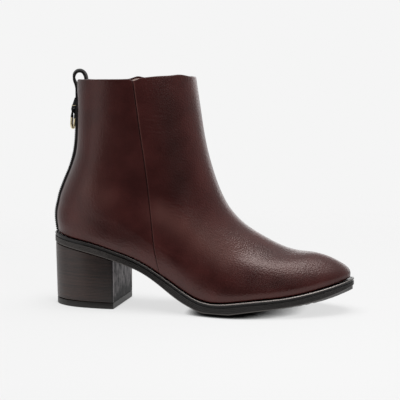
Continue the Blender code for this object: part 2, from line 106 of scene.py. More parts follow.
# Creases on the outer side of the leather: from x, z to x, z, bow, half width, depth (below zero a ridge)
CREASES = [
    (84.6, 155.3, 99, 153, 0.5, 0.8, 0.22), (85.2, 152.2, 101, 151.4, -0.9, 0.7, 0.18),
    (85.6, 149.4, 97, 147.8, 0.5, 0.7, 0.2), (86.2, 146.2, 104, 145.2, -0.6, 0.8, 0.18),
    (92, 157.4, 108, 156.8, 0.6, 0.7, 0.14), (87, 142.6, 99, 141.6, 0.4, 0.8, 0.12),
    (99, 92.6, 108, 90.4, 0.5, 0.6, -0.22), (101, 89.4, 113, 87.2, -0.5, 0.6, -0.26),
    (104, 86.6, 112, 83.8, 0.6, 0.6, -0.26), (109, 88.6, 119, 84.6, 0.5, 0.6, -0.24),
    (103, 83, 113, 80.8, -0.4, 0.6, -0.26), (112, 82.8, 122, 79, 0.5, 0.6, -0.26),
    (107, 79, 117, 76.8, 0.4, 0.6, -0.24), (116, 80.6, 127, 76.2, -0.5, 0.7, -0.22),
    (119, 86, 128, 81.4, 0.5, 0.7, 0.1), (105, 95.4, 117, 92, 0.5, 0.7, 0.1),
    (122, 76.4, 134, 71.4, -0.5, 0.8, -0.1), (180, 26.5, 197, 27, 1, 4.5, 0.45),
]

# Zones of painted sheen, or of painted shade below zero: from x, z to x, z, half width, amount
PAINTED_LIGHT_ZONES = [
    (101, 80, 117, 71, 10, 0.6), (133, 60, 154, 50, 11, 0.72),
    (158, 22, 212, 26, 6, -0.28), (40, 74, 78, 60, 7, -0.12),
    (42, 99, 55, 92, 10, 0.36), (53, 142, 52, 112, 9, 0.14),
    (106, 165, 114, 100, 11, -0.45),
]

ZIP_HALF_WIDTH = 4.5
SEAM_RISE = 0.38
SEAM_RISE_BEHIND = 0.12
SEAM_DEPTH = 0.55
SWELL = 0.1
LIP_RISE = 0.15
LIP_FROM_MIDDLE = 5.6
LIP_WIDTH = 1.1
ZIP_END_Z = 168.0
TURN_IN = 0.8
TUCK = 0.9
TUCK_HEIGHT = 1.7
BACK_HOLLOW = 1.5
BACK_HOLLOW_WIDTH = 10.0
BACK_HOLLOW_FROM_Z = 108.0
BACK_HOLLOW_TO_Z = 176.0
LASTING_PASSES = 120
LASTED_FROM_X = 120.0
LASTED_TO_X = 214.0
LASTED_TO_Z = 95.0
OUTER_ROWS = 186
LINING_ROWS = 44
RIM_STEPS = 6


def spline(knots, values, at):
    """Smooth curve through values at knots; values may have columns."""
    knots = np.asarray(knots, float)
    values = np.asarray(values, float)
    at = np.asarray(at, float)
    count = len(knots)
    step = np.diff(knots)
    matrix = np.eye(count)
    right = np.zeros(values.shape)
    for i in range(1, count - 1):
        matrix[i, i - 1:i + 2] = step[i - 1], 2 * (step[i - 1] + step[i]), step[i]
        right[i] = 6 * ((values[i + 1] - values[i]) / step[i] - (values[i] - values[i - 1]) / step[i - 1])
    bend = np.linalg.solve(matrix, right)
    i = np.clip(np.searchsorted(knots, at, side="right") - 1, 0, count - 2)
    before = at - knots[i]
    after = knots[i + 1] - at
    wide = step[i]
    if values.ndim > 1:
        before, after, wide = before[..., None], after[..., None], wide[..., None]
    curve = (bend[i] * after ** 3 + bend[i + 1] * before ** 3) / (6 * wide)
    curve = curve + (values[i] / wide - bend[i] * wide / 6) * after
    return curve + (values[i + 1] / wide - bend[i + 1] * wide / 6) * before


def along(table, at, column=1):
    rows = np.array(table, float)
    return spline(rows[:, 0], rows[:, column], at)


def ease(share):
    share = np.clip(share, 0, 1)
    return share * share * (3 - 2 * share)


def upper_rows(level):
    last = len(UPPER_SECTIONS) - 1
    return spline(np.arange(last + 1), UPPER_SECTIONS, np.asarray(level) * last)


def upper_side(level, turn):
    """x, z, middle line and half width. level is 0 at the sole and 1 at the collar, turn is 0 at
    the heel and pi at the toe, with one row of turns for each level."""
    rows = upper_rows(level)
    share = (1 - np.cos(turn)) / 2
    back_x, back_z, front_x, front_z, sag, swing = rows[:, :6].T[:, :, None]
    foot = UPPER_SECTIONS[0]
    ends = along(SOLE_TOP, foot[[0, 2]]) - foot[[1, 3]]
    dip = along(SOLE_TOP, foot[0] + share * (foot[2] - foot[0])) - foot[1] - share * (foot[3] - foot[1])
    dip = dip - (1 - share) * ends[0] - share * ends[1]
    factor = 2 * np.sqrt(STATIONS * (1 - STATIONS))
    factor[[0, -1]] = 1
    fullness = [spline(STATIONS, row[6:12] / factor, at) for row, at in zip(rows, share)]
    x = back_x + share * (front_x - back_x)
    z = back_z + share * (front_z - back_z) + sag * dip
    return x, z, swing * along(SWING, share), np.array(fullness) * np.sin(turn)


def closed(outer, inner):
    """Rings round the foot: the outer side from heel to toe, then the inner side back."""
    return np.concatenate([outer, inner[:, -2:0:-1]], axis=1)


def unit(vectors):
    return vectors / np.linalg.norm(vectors, axis=-1, keepdims=True)


def strides(points):
    return np.linalg.norm(np.diff(points, axis=0), axis=-1)


def facing(grid):
    """Outward directions of a grid of closed rings stacked upwards."""
    across = np.roll(grid, -1, 1) - np.roll(grid, 1, 1)
    return unit(np.cross(across, np.gradient(grid, axis=0)))


def sheet_faces(rows, columns, wrap_rows=False, start=0):
    """Quads over rows of closed rings, numbered from start."""
    faces = []
    for i in range(rows if wrap_rows else rows - 1):
        a, b = start + i * columns, start + (i + 1) % rows * columns
        faces += [(a + j, a + (j + 1) % columns, b + (j + 1) % columns, b + j) for j in range(columns)]
    return faces


def make_piece(name, points, faces, materials, sharp_deg=50, chosen=None, edges=()):
    """A smooth mesh piece from points in boot millimetres."""
    mesh = bpy.data.meshes.new(name)
    mesh.from_pydata((BOOT_ORIGIN + np.asarray(points) * MM).tolist(), edges, faces)
    for material in materials:
        mesh.materials.append(material)
    if chosen is not None:
        mesh.polygons.foreach_set("material_index", np.asarray(chosen, np.int32))
    mesh.shade_smooth()
    mesh.set_sharp_from_angle(angle=math.radians(sharp_deg))
    mesh.update()
    piece = bpy.data.objects.new(name, mesh)
    bpy.context.scene.collection.objects.link(piece)
    return piece


def paint(piece, name, values):
    """A point attribute: values for the piece's first points, zero on the rest."""
    full = np.zeros(len(piece.data.vertices), np.float32)
    full[:len(values)] = values
    piece.data.attributes.new(name, "FLOAT", "POINT").data.foreach_set("value", full)


def stand_for(piece, body, node):
    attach(piece, body)
    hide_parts(node)


def linear(hex_colour):
    """sRGB hex to linear colour with alpha."""
    parts = [int(hex_colour[i:i + 2], 16) / 255 for i in (1, 3, 5)]
    return [c / 12.92 if c <= 0.04045 else ((c + 0.055) / 1.055) ** 2.4 for c in parts] + [1.0]


def plug(tree, node, sockets):
    """Each socket of the node gets a value or a link from another node's output."""
    for name, value in sockets.items():
        if isinstance(value, bpy.types.NodeSocket):
            tree.links.new(value, node.inputs[name])
        else:
            node.inputs[name].default_value = value


def add_node(tree, kind, sockets, out=0, **settings):
    """A node with its settings and sockets; gives the chosen one of its outputs."""
    made = tree.nodes.new(kind)
    for name, value in settings.items():
        setattr(made, name, value)
    plug(tree, made, sockets)
    return made.outputs[out] if len(made.outputs) else None


def surface(tree, sockets):
    plug(tree, tree.nodes["Principled BSDF"], sockets)


def new_material(name, sockets):
    """A Principled material with its constant sockets set."""
    material = bpy.data.materials.new(name)
    material.use_nodes = True
    surface(material.node_tree, sockets)
    return material, material.node_tree


def finish(tree, pattern, dark, pale, ends=(0.0, 1.0), painted_tones=(), gloss=None, relief=None):
    """A look that follows a pattern. Its two tones run between the ends, and each share in rubs goes
    to a colour of painted highlight or painted shade. gloss is the roughness at each end; relief is a
    height, a strength and a depth in mm."""
    tone = add_node(tree, "ShaderNodeValToRGB", {"Fac": pattern}, "Color")
    for stop, position, colour in zip(tone.node.color_ramp.elements, ends, (dark, pale)):
        stop.position = position
        stop.color = linear(colour)
    for share, colour in painted_tones:
        tone = add_node(tree, "ShaderNodeMix", {0: share, 6: tone, 7: linear(colour)}, 2, data_type="RGBA")
    surface(tree, {"Base Color": tone})
    if gloss:
        surface(tree, {"Roughness": add_node(tree, "ShaderNodeMapRange", {
            "Value": pattern, "From Min": ends[0], "From Max": ends[1],
            "To Min": gloss[0], "To Max": gloss[1]})})
    if relief:
        height, strength, depth_mm = relief
        surface(tree, {"Normal": add_node(tree, "ShaderNodeBump", {
            "Height": height, "Strength": strength, "Distance": depth_mm * MM})})


# Rows of the outer face, closer together at the sole, where the leather is creased and at the collar
CREASED_Z = [74, 80, 104, 110, 134, 140, 159, 165]
LOWEST_STEP = 4.0
HIGHEST_STEP = 19.0
FINE_ROWS = 400
SIDE_TURN = 1.4
section_steps = len(UPPER_SECTIONS) - 1
fine = np.linspace(0, 1, FINE_ROWS)
side_run = np.stack([part[:, 0] for part in upper_side(fine, np.full((FINE_ROWS, 1), SIDE_TURN))[:2]], 1)
front_run = upper_rows(fine)[:, [2, 3]]
pace = strides(side_run) + 0.5 * strides(front_run)
pace = pace * (1 + np.interp(side_run[1:, 1], CREASED_Z, [0, 1, 1, 0, 0, 1, 1, 0]))
pace = np.concatenate([[0], np.cumsum(pace)])
sole_rows = np.array([0.0, 0.3, 0.6, 0.9, 1.3, 1.8, 2.4]) / LOWEST_STEP / section_steps
collar_rows = 1 - np.array([4.0, 2.6, 1.6, 0.8, 0.0]) / HIGHEST_STEP / section_steps
even_rows = np.interp(np.linspace(0, pace[-1], OUTER_ROWS), pace, fine)
even_rows = even_rows[(even_rows > sole_rows[-1] + 0.006) & (even_rows < collar_rows[0] - 0.004)]
levels = np.concatenate([sole_rows, even_rows, collar_rows])

# Turns of each ring: close behind the zip, close along the side seam
BACK_TURN = 0.24
probe = np.tile(np.linspace(0.3, 2.8, 200), (len(levels), 1))
probe_x, probe_z, _, _ = upper_side(levels, probe)
past_seam = probe_x - along(SIDE_SEAM, probe_z)
seam_turn = np.array([np.interp(0, gap, turn) for gap, turn in zip(past_seam, probe)])
rows = upper_rows(levels)
seam_pace = (rows[:, 2] - rows[:, 0]) / 2 * np.sin(seam_turn)
turns = []
for middle_turn, pace_here in zip(seam_turn, seam_pace):
    strip = middle_turn + SEAM_STRIP / pace_here
    turns.append(np.concatenate([
        np.linspace(0, BACK_TURN, 17), np.linspace(BACK_TURN, strip[0], 46)[1:-1], strip,
        np.linspace(strip[-1], math.pi, 88)[1:],
    ]))
turns = np.array(turns)
side_x, side_z, side_middle, side_half = upper_side(levels, turns)
form = closed(np.stack([side_x, side_middle - side_half, side_z], 2),
              np.stack([side_x, side_middle + side_half, side_z], 2))
ring = form.shape[1]

# Views of the form that follow what is done to it below
form_x, form_z = form[:, :, 0], form[:, :, 2]

# The lower edge follows the welt, the upper edge its own line with notches and a dip at the back
seam_side = (turns - seam_turn[:, None]) * seam_pace[:, None]
seam_gap = closed(seam_side, seam_side)
onto_welt = along(SOLE_TOP, form_x[0]) + GAP - form_z[0]
form_z += onto_welt * np.clip(1 - levels / 0.05, 0, 1)[:, None]
share = (1 - np.cos(turns[-1:])) / 2
edge_rise = closed(along(COLLAR_EDGE, share, 1), along(COLLAR_EDGE, share, 2))[0]
reach = np.where(seam_gap[-1] > 0, NOTCH_IN_FRONT, NOTCH_BEHIND)
outer_side = np.arange(ring) < turns.shape[1]
notch_depth = np.where(outer_side, NOTCH_OUTER, NOTCH_INNER)
edge_rise = edge_rise - notch_depth * np.clip(1 - np.abs(seam_gap[-1]) / reach, 0, 1) ** 1.4
back_side = closed(turns, turns) < 0.6
from_back = np.where(back_side, np.abs(form[:, :, 1]), 99.0)
edge_rise = edge_rise - BACK_DIP * np.exp(-(from_back[-1] / BACK_DIP_WIDTH) ** 2) - WALL / 2
form_z += edge_rise * ease((levels - 0.9) / 0.1)[:, None]

# Over the vamp the leather is drawn tight on the last, so the form is evened out there
climb = np.zeros((len(levels), ring))
climb[1:] = np.cumsum(strides(form), axis=0)
drawn = ease((form_x - LASTED_FROM_X) / 25) * ease((LASTED_TO_X - form_x) / 30)
drawn = 0.6 * (drawn * ease((LASTED_TO_Z - form_z) / 25) * ease((climb - 4) / 26))[1:-1, :, None]
for _ in range(LASTING_PASSES):
    beside = np.roll(form, 1, 1) + np.roll(form, -1, 1)
    form[1:-1] += drawn * ((form[:-2] + form[2:] + beside[1:-1]) / 4 - form[1:-1])
outward = facing(form)

# Relief of the leather: side seam, lips along the zip, creases, and the drawn-in lower edge
from_seam = np.abs(seam_gap)
seam_rise = np.where(seam_gap >= 0, SEAM_RISE * np.exp(-from_seam / 1.8),
                     SEAM_RISE_BEHIND * np.exp(-from_seam / 2))
seam_groove = np.exp(-((seam_gap + 0.5) / 0.4) ** 2)
lip = LIP_RISE * np.exp(-((from_back - LIP_FROM_MIDDLE) / LIP_WIDTH) ** 2)
lip = lip * (from_back > ZIP_HALF_WIDTH + 0.2) * ease((ZIP_END_Z - form_z) / 3)
relief = seam_rise - SEAM_DEPTH * seam_groove + lip
relief += SWELL * np.sin(form_x / 8.5 + form_z / 14.0) * np.sin(form_z / 11.0 + 1.3)
for from_x, from_z, to_x, to_z, bow, half_width, depth in CREASES:
    run = np.array([to_x - from_x, to_z - from_z])
    span = np.linalg.norm(run)
    spot = form[:, :, [0, 2]] - (from_x, from_z)
    done = spot @ run / span ** 2
    aside = (spot[:, :, 1] * run[0] - spot[:, :, 0] * run[1]) / span - bow * 4 * done * (1 - done)
    window = outer_side * np.sin(math.pi * np.clip(done, 0, 1)) ** 0.8
    relief -= depth * window * np.exp(-(aside / half_width) ** 2)
hollow = ease((form_z - BACK_HOLLOW_FROM_Z) / 20) * ease((BACK_HOLLOW_TO_Z - form_z) / 8)
relief -= BACK_HOLLOW * hollow * np.exp(-(from_back / BACK_HOLLOW_WIDTH) ** 2)
relief -= TUCK * np.clip(1 - climb / TUCK_HEIGHT, 0, 1) ** 2
# Painted light on the calf: a painted highlight along the seam's raised edge, stronger higher up, painted
# shade in the seam groove and along the lower edge at the welt, and the zones of painted sheen and shade
painted_light = (0.35 + 0.5 * ease((form_z - 90) / 70)) * np.exp(-((seam_gap - 0.3) / 0.35) ** 2)
painted_light = painted_light - seam_groove - 0.9 * np.clip(1 - climb / 0.8, 0, 1)
# Painted sheen and painted shade in the zones
for from_x, from_z, to_x, to_z, half_width, amount in PAINTED_LIGHT_ZONES:
    run = np.array([to_x - from_x, to_z - from_z])
    spot = form[:, :, [0, 2]] - (from_x, from_z)
    done = np.clip(spot @ run / (run @ run), 0, 1)
    apart = np.linalg.norm(spot - done[..., None] * run, axis=2)
    painted_light += amount * np.exp(-(apart / half_width) ** 2)
skin = form + outward * relief[..., None]

# The folded edge and the lining inside
rim_middle = skin[-1] - outward[-1] * WALL / 2
rim = []
for k in range(1, RIM_STEPS):
    angle = math.pi * k / RIM_STEPS
    rim.append(rim_middle + WALL / 2 * (math.cos(angle) * outward[-1] + np.array([0, 0, math.sin(angle)])))
turn_in = np.searchsorted(levels, 1 - TURN_IN / HIGHEST_STEP / section_steps)
lining_rows = np.linspace(turn_in, 0, LINING_ROWS).round().astype(int)
lining = (form - WALL * outward)[[len(levels) - 1, *lining_rows]]
lining[0] = skin[-1] - outward[-1] * WALL
lining[-1] = form[0] - WALL * unit(outward[0] * (1, 1, 0))
lining[-1, :, 2] = along(SOLE_TOP, lining[-1, :, 0]) + GAP
shell = np.concatenate([skin, np.array(rim), lining])

# Aniline calf, dyed and polished: a fine grain, a soft wax gloss, slightly clouded; a pale painted
# highlight and a near black painted shade
CALF_DARK = "#361413"
CALF_RED = "#481d1b"
# Colours of the painted highlight and the painted shade
CALF_PAINTED_HIGHLIGHT = "#643f3a"
CALF_PAINTED_SHADE = "#120606"
CLOUD_MM = 22.0
PORE_MM = 1.3
WRINKLE_MM = 3.0
calf, tree = new_material("aniline_calf_leather", {
    "Specular IOR Level": 0.5, "Specular Tint": linear("#ffe8e2"), "IOR": 1.5})
here = add_node(tree, "ShaderNodeTexCoord", {}, "Object")
cloud = add_node(tree, "ShaderNodeTexNoise", {
    "Vector": here, "Scale": 1 / (CLOUD_MM * MM), "Detail": 3.0, "Roughness": 0.55}, "Fac")
wrinkles = add_node(tree, "ShaderNodeTexNoise", {
    "Vector": here, "Scale": 1 / (WRINKLE_MM * MM), "Detail": 5.0, "Roughness": 0.65}, "Fac")
pores = add_node(tree, "ShaderNodeTexVoronoi", {
    "Vector": here, "Scale": 1 / (PORE_MM * MM), "Smoothness": 0.5}, "Distance", feature="SMOOTH_F1")
grain = add_node(tree, "ShaderNodeMath", {0: pores, 1: wrinkles}, operation="ADD")
# Painted light: above zero it goes to the painted highlight, below zero to the painted shade
painted_light_fac = add_node(tree, "ShaderNodeAttribute", {}, "Fac", attribute_name="painted_light")
painted_shade_share = add_node(tree, "ShaderNodeMapRange", {
    "Value": painted_light_fac, "From Min": -1.0, "From Max": 0.0, "To Min": 1.0, "To Max": 0.0})
finish(tree, cloud, CALF_DARK, CALF_RED, (0.3, 0.7), [(painted_light_fac, CALF_PAINTED_HIGHLIGHT), (painted_shade_share, CALF_PAINTED_SHADE)],
       (0.3, 0.37), (grain, 0.6, 0.23))

# Pigskin lining: matt, pale rose beige
LINING_PALE = "#e4d0c6"
LINING_DEEP = "#cdb2a3"
HAIR_PORE_MM = 1.4
pigskin, tree = new_material("pigskin_lining", {"Roughness": 0.75, "Specular IOR Level": 0.3})
here = add_node(tree, "ShaderNodeTexCoord", {}, "Object")
dots = add_node(tree, "ShaderNodeTexVoronoi", {
    "Vector": here, "Scale": 1 / (HAIR_PORE_MM * MM)}, "Distance")
finish(tree, dots, LINING_DEEP, LINING_PALE, (0.0, 0.35), relief=(dots, 0.2, 0.1))

faces = sheet_faces(len(shell), ring, wrap_rows=True)
face_row = np.repeat(np.arange(len(shell)), ring)
inside = (face_row >= len(skin) + RIM_STEPS) & (face_row < len(shell) - 1)
upper = make_piece("upper_leather", shell.reshape(-1, 3), faces, [calf, pigskin], 60, inside)
# Painted highlight and painted shade on the calf, as a point attribute
paint(upper, "painted_light", painted_light.ravel())
stand_for(upper, "boot", "upper")

# Zip strip: the closed zip down the centre back, black woven polyester tape sewn under the two
# leather lips, from the sole's edge to just under the loop.
ZIP_THICK = 1.6
ZIP_FROM_Z = 60.0
ZIP_TO_Z = 168.0
TAPE_ROWS = 60
TAPE_COLUMNS = 9
back_rows = upper_rows(fine)


def back_line(heights, out):
    """Points on the boot's back at these heights, moved out of the leather."""
    x = np.interp(heights, back_rows[:, 1], back_rows[:, 0])
    line = np.stack([x, np.zeros(len(x)), heights], 1)
    tangent = unit(np.gradient(line, axis=0))
    return line + out * np.stack([-tangent[:, 2], np.zeros(len(x)), tangent[:, 0]], 1)


def back_bend(heights, y):
    """How far the round of the back falls away at a distance y from its middle."""
    length = np.interp(heights, back_rows[:, 1], back_rows[:, 2] - back_rows[:, 0])
    full = np.interp(heights, back_rows[:, 1], back_rows[:, 6])
    return length * (y / (2 * full)) ** 2


def path_uv(piece, across, length):
    """A UV map in millimetres: across the band and along it, one pair for each point."""
    pairs = np.stack([across, length], 1)
    corner = np.zeros(len(piece.data.loops), np.int32)
    piece.data.loops.foreach_get("vertex_index", corner)
    piece.data.uv_layers.new(name="path").data.foreach_set("uv", pairs[corner].astype(np.float32).ravel())


heights = np.linspace(ZIP_FROM_Z, ZIP_TO_Z, TAPE_ROWS)
spread = np.linspace(-ZIP_HALF_WIDTH, ZIP_HALF_WIDTH, TAPE_COLUMNS)
loops = []
for out, order in ((GAP - BACK_HOLLOW, spread), (GAP + ZIP_THICK, spread[::-1])):
    for y in order:
        aside = np.stack([back_bend(heights, y), np.full(TAPE_ROWS, y), np.zeros(TAPE_ROWS)], 1)
        loops.append(back_line(heights, out) + aside)
tape_points = np.stack(loops, 1)
tape_ring = 2 * TAPE_COLUMNS
faces = sheet_faces(TAPE_ROWS, tape_ring)
for i in range(TAPE_COLUMNS - 1):
    top = (TAPE_ROWS - 1) * tape_ring
    faces.append((i, tape_ring - 1 - i, tape_ring - 2 - i, i + 1))
    faces.append((top + i, top + i + 1, top + tape_ring - 2 - i, top + tape_ring - 1 - i))

# Woven polyester: a fine twill of matt threads, one thread every 0.7 mm so that it shows
THREAD_MM = 0.7

# A wave texture at scale 1 repeats every 0.314 of its coordinate
WAVE_PERIOD = 0.314
twill, tree = new_material("woven_polyester_tape", {
    "Roughness": 0.8, "Specular IOR Level": 0.35, "Sheen Weight": 0.15, "Sheen Roughness": 0.5})
slant = add_node(tree, "ShaderNodeMapping", {
    "Vector": add_node(tree, "ShaderNodeUVMap", {}, uv_map="path"), "Rotation": (0, 0, math.radians(35))})
threads = add_node(tree, "ShaderNodeTexWave", {
    "Vector": slant, "Scale": WAVE_PERIOD / THREAD_MM, "Distortion": 0.6, "Detail": 1.0}, "Fac")
finish(tree, threads, "#0b0a0b", "#221f20", relief=(threads, 0.5, 0.15))
tape = make_piece("zip_strip", tape_points.reshape(-1, 3), faces, [twill], 40)
path_uv(tape, np.tile(np.concatenate([spread, spread[::-1]]), TAPE_ROWS), np.repeat(heights, tape_ring))
stand_for(tape, "boot", "zip_tape")

# Zip coil: two rows of black nylon loops that mesh down the middle of the strip. Each loop is a
# short bar across the boot, and left and right loops alternate.
COIL_PITCH = 1.7
COIL_BAR = 2.9
COIL_WIRE = 0.7
COIL_TO_Z = 154.6
COIL_OFFSET = 1.05
COIL_OUT = 0.3


def new_tree(name, sizes):
    """A Geometry Nodes tree with a geometry in and out, and inputs for sizes and a material."""
    made = bpy.data.node_groups.new(name, "GeometryNodeTree")
    given = [("Geometry", "Geometry"), *[(title, "Float") for title in sizes], ("Material", "Material")]
    for title, kind in given:
        made.interface.new_socket(title, in_out="INPUT", socket_type="NodeSocket" + kind)
    made.interface.new_socket("Geometry", in_out="OUTPUT", socket_type="NodeSocketGeometry")
    return made, add_node(made, "NodeGroupInput", {}).node.outputs


def along_path(tree, given, shape):
    """Shapes set along a path with their z on its run, made real and given a material."""
    curve = add_node(tree, "GeometryNodeMeshToCurve", {"Mesh": given["Geometry"]})
    spots = add_node(tree, "GeometryNodeResampleCurve", {
        "Curve": curve, "Length": given["Pitch"]}, mode="LENGTH")
    turned = add_node(tree, "FunctionNodeAlignRotationToVector", {
        "Vector": add_node(tree, "GeometryNodeInputTangent", {})}, axis="Z", pivot_axis="Y")
    placed = add_node(tree, "GeometryNodeInstanceOnPoints", {
        "Points": spots, "Instance": shape, "Rotation": turned})
    real = add_node(tree, "GeometryNodeRealizeInstances", {"Geometry": placed})
    dressed = add_node(tree, "GeometryNodeSetMaterial", {"Geometry": real, "Material": given["Material"]})
    add_node(tree, "NodeGroupOutput", {"Geometry": dressed})


def grow(name, lines, tree, values):
    """A plain mesh piece made by a tree on paths in boot millimetres."""
    points = np.concatenate(lines)
    ends = np.cumsum([len(line) for line in lines])
    edges = [(i, i + 1) for i in range(len(points) - 1) if i + 1 not in ends]
    piece = make_piece(name, points, [], [], edges=edges)
    modifier = piece.modifiers.new(name, "NODES")
    modifier.node_group = tree
    for item in tree.interface.items_tree:
        if item.in_out == "INPUT" and item.name in values:
            modifier[item.identifier] = values[item.name]
    graph = bpy.context.evaluated_depsgraph_get()
    made = bpy.data.meshes.new_from_object(piece.evaluated_get(graph))
    piece.modifiers.clear()
    piece.data = made
    made.name = name
    made.shade_smooth()
    return piece


coil_tree, given = new_tree("zip_coil", ["Pitch", "Bar", "Wire", "Offset"])
bar = add_node(coil_tree, "GeometryNodeMeshCylinder", {
    "Vertices": 8, "Radius": given["Wire"], "Depth": given["Bar"]}, "Mesh")
to_left = add_node(coil_tree, "ShaderNodeCombineXYZ", {
    "Y": add_node(coil_tree, "ShaderNodeMath", {0: given["Offset"], 1: -1.0}, operation="MULTIPLY")})
to_right = add_node(coil_tree, "ShaderNodeCombineXYZ", {
    "Y": given["Offset"],
    "Z": add_node(coil_tree, "ShaderNodeMath", {0: given["Pitch"], 1: 0.5}, operation="MULTIPLY")})
both = add_node(coil_tree, "GeometryNodeJoinGeometry", {})
for shift in (to_left, to_right):
    laid = add_node(coil_tree, "GeometryNodeTransform", {
        "Geometry": bar, "Translation": shift, "Rotation": (math.pi / 2, 0, 0)})
    plug(coil_tree, both.node, {0: laid})
along_path(coil_tree, given, both)

# Moulded nylon: black and slightly shiny, scuffed where the slider runs
SCUFF_MM = 1.5
nylon, tree = new_material("moulded_nylon_coil", {"Specular IOR Level": 0.5, "IOR": 1.53})
here = add_node(tree, "ShaderNodeTexCoord", {}, "Object")
scuff = add_node(tree, "ShaderNodeTexNoise", {"Vector": here, "Scale": 1 / (SCUFF_MM * MM)}, "Fac")
finish(tree, scuff, "#0c0b0c", "#1d1b1c", gloss=(0.28, 0.5))
coil_line = back_line(np.linspace(ZIP_FROM_Z + 1.0, COIL_TO_Z, 80), GAP + ZIP_THICK + COIL_OUT)
coil = grow("zip_coil_teeth", [coil_line], coil_tree, {
    "Pitch": COIL_PITCH * MM, "Bar": COIL_BAR * MM, "Wire": COIL_WIRE * MM,
    "Offset": COIL_OFFSET * MM, "Material": nylon})
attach(coil, "boot")

# Zip stitching: one row of waxed thread through each leather lip, which holds the strip. The stitches
# are two millimetres long and dyed to the leather.
STITCH_PITCH = 2.6
STITCH_LENGTH = 2.0
STITCH_WIRE = 0.22
STITCH_FROM_MIDDLE = 7.4
STITCH_OUT = 0.12
stitch_tree, given = new_tree("stitch_row", ["Pitch", "Length", "Wire"])
ball = add_node(stitch_tree, "GeometryNodeMeshUVSphere", {"Segments": 8, "Rings": 6, "Radius": 1.0}, "Mesh")
size = add_node(stitch_tree, "ShaderNodeCombineXYZ", {
    "X": given["Wire"], "Y": given["Wire"], "Z": given["Length"]})
thread = add_node(stitch_tree, "GeometryNodeTransform", {"Geometry": ball, "Scale": size})
along_path(stitch_tree, given, thread)

# Waxed polyester thread, dyed to the leather
PLY_MM = 0.4
waxed, tree = new_material("waxed_thread", {"Roughness": 0.5})
here = add_node(tree, "ShaderNodeTexCoord", {}, "Object")
ply = add_node(tree, "ShaderNodeTexWave", {
    "Vector": here, "Scale": WAVE_PERIOD / (PLY_MM * MM)}, "Fac", bands_direction="DIAGONAL")
finish(tree, ply, "#1c0e0d", "#3a1c1a")
stitch_heights = np.linspace(ZIP_FROM_Z + 1, ZIP_END_Z - 2, 60)
stitch_lines = []
for side in (-1, 1):
    line = back_line(stitch_heights, STITCH_OUT)
    line[:, 0] += back_bend(stitch_heights, STITCH_FROM_MIDDLE)
    line[:, 1] = side * STITCH_FROM_MIDDLE
    stitch_lines.append(line)
stitches = grow("zip_stitches", stitch_lines, stitch_tree, {
    "Pitch": STITCH_PITCH * MM, "Length": STITCH_LENGTH / 2 * MM, "Wire": STITCH_WIRE * MM,
    "Material": waxed})
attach(stitches, "boot")

# Slider: a die-cast block on the coil, at the top of the zip, lacquered black, with a sloping nose,
# a hole across it for the pull, and a bright brass band round it over the hole.
SLIDER_HINGE_Z = 161.2
SLIDER_HALF_WIDTH = 2.4
SLIDER_EDGE = 0.3
LUG_HOLE = 1.0
HINGE_OUT = 4.1
BAND_HALF_WIDTH = 2.55
hinge_x = float(np.interp(SLIDER_HINGE_Z, back_rows[:, 1], back_rows[:, 0])) - HINGE_OUT

# Side of the block round its hole, and side of the band: inwards, upwards
SLIDER_PROFILE = np.array([
    (1.9, 0.0), (1.9, 2.4), (1.9, 8.2), (1.3, 8.2), (0.1, 4.9), (-1.0, 1.9),
    (-1.9, -0.5), (-1.9, -2.2), (-0.8, -3.6), (0.9, -5.4), (1.9, -5.4), (1.9, -2.8),
])
BAND_PROFILE = [(1.9, 1.4), (1.9, 2.0), (-1.15, 2.0), (-1.4, 1.4)]
between = (SLIDER_PROFILE + np.roll(SLIDER_PROFILE, -1, 0)) / 2
profile = np.stack([SLIDER_PROFILE, between], 1).reshape(-1, 2)
hole = LUG_HOLE * unit(profile)
broken = profile - SLIDER_EDGE * unit(profile)


def side_view(y, outline):
    return [(hinge_x + inward, y, SLIDER_HINGE_Z + up) for inward, up in outline]


inner_half = SLIDER_HALF_WIDTH - SLIDER_EDGE
slider_points = []
for y, outline in ((-SLIDER_HALF_WIDTH, hole), (-SLIDER_HALF_WIDTH, broken), (-inner_half, profile),
                   (inner_half, profile), (SLIDER_HALF_WIDTH, broken), (SLIDER_HALF_WIDTH, hole)):
    slider_points += side_view(y, outline)
faces = [face[::-1] for face in sheet_faces(6, len(profile), wrap_rows=True)]
bright = [0] * len(faces)
near, count = len(slider_points), len(BAND_PROFILE)
slider_points += side_view(-BAND_HALF_WIDTH, BAND_PROFILE) + side_view(BAND_HALF_WIDTH, BAND_PROFILE)
faces += [face[::-1] for face in sheet_faces(2, count, start=near)]
faces += [tuple(range(near, near + count)), tuple(range(near + 2 * count - 1, near + count - 1, -1))]
bright += [1] * (count + 2)

# Black lacquer on metal: hard, glossy, a little uneven
RIPPLE_MM = 1.2
lacquer, tree = new_material("black_lacquer", {
    "Specular IOR Level": 0.5, "Base Color": linear("#100f10")})
here = add_node(tree, "ShaderNodeTexCoord", {}, "Object")
ripple = add_node(tree, "ShaderNodeTexNoise", {"Vector": here, "Scale": 1 / (RIPPLE_MM * MM)}, "Fac")
surface(tree, {"Roughness": add_node(tree, "ShaderNodeMapRange", {
    "Value": ripple, "To Min": 0.3, "To Max": 0.45})})

# Plated brass: pale gold, polished, with faint rubbing marks
MARK_MM = 2.0
brass, tree = new_material("plated_brass", {"Metallic": 1.0})
here = add_node(tree, "ShaderNodeTexCoord", {}, "Object")
marks = add_node(tree, "ShaderNodeTexNoise", {
    "Vector": here, "Scale": 1 / (MARK_MM * MM), "Detail": 3.0}, "Fac")
finish(tree, marks, "#e6d4a6", "#fbf1d4", gloss=(0.4, 0.55))
slider = make_piece("slider_body", slider_points, faces, [lacquer, brass], 35, bright)
stand_for(slider, "boot", "zip_slider")
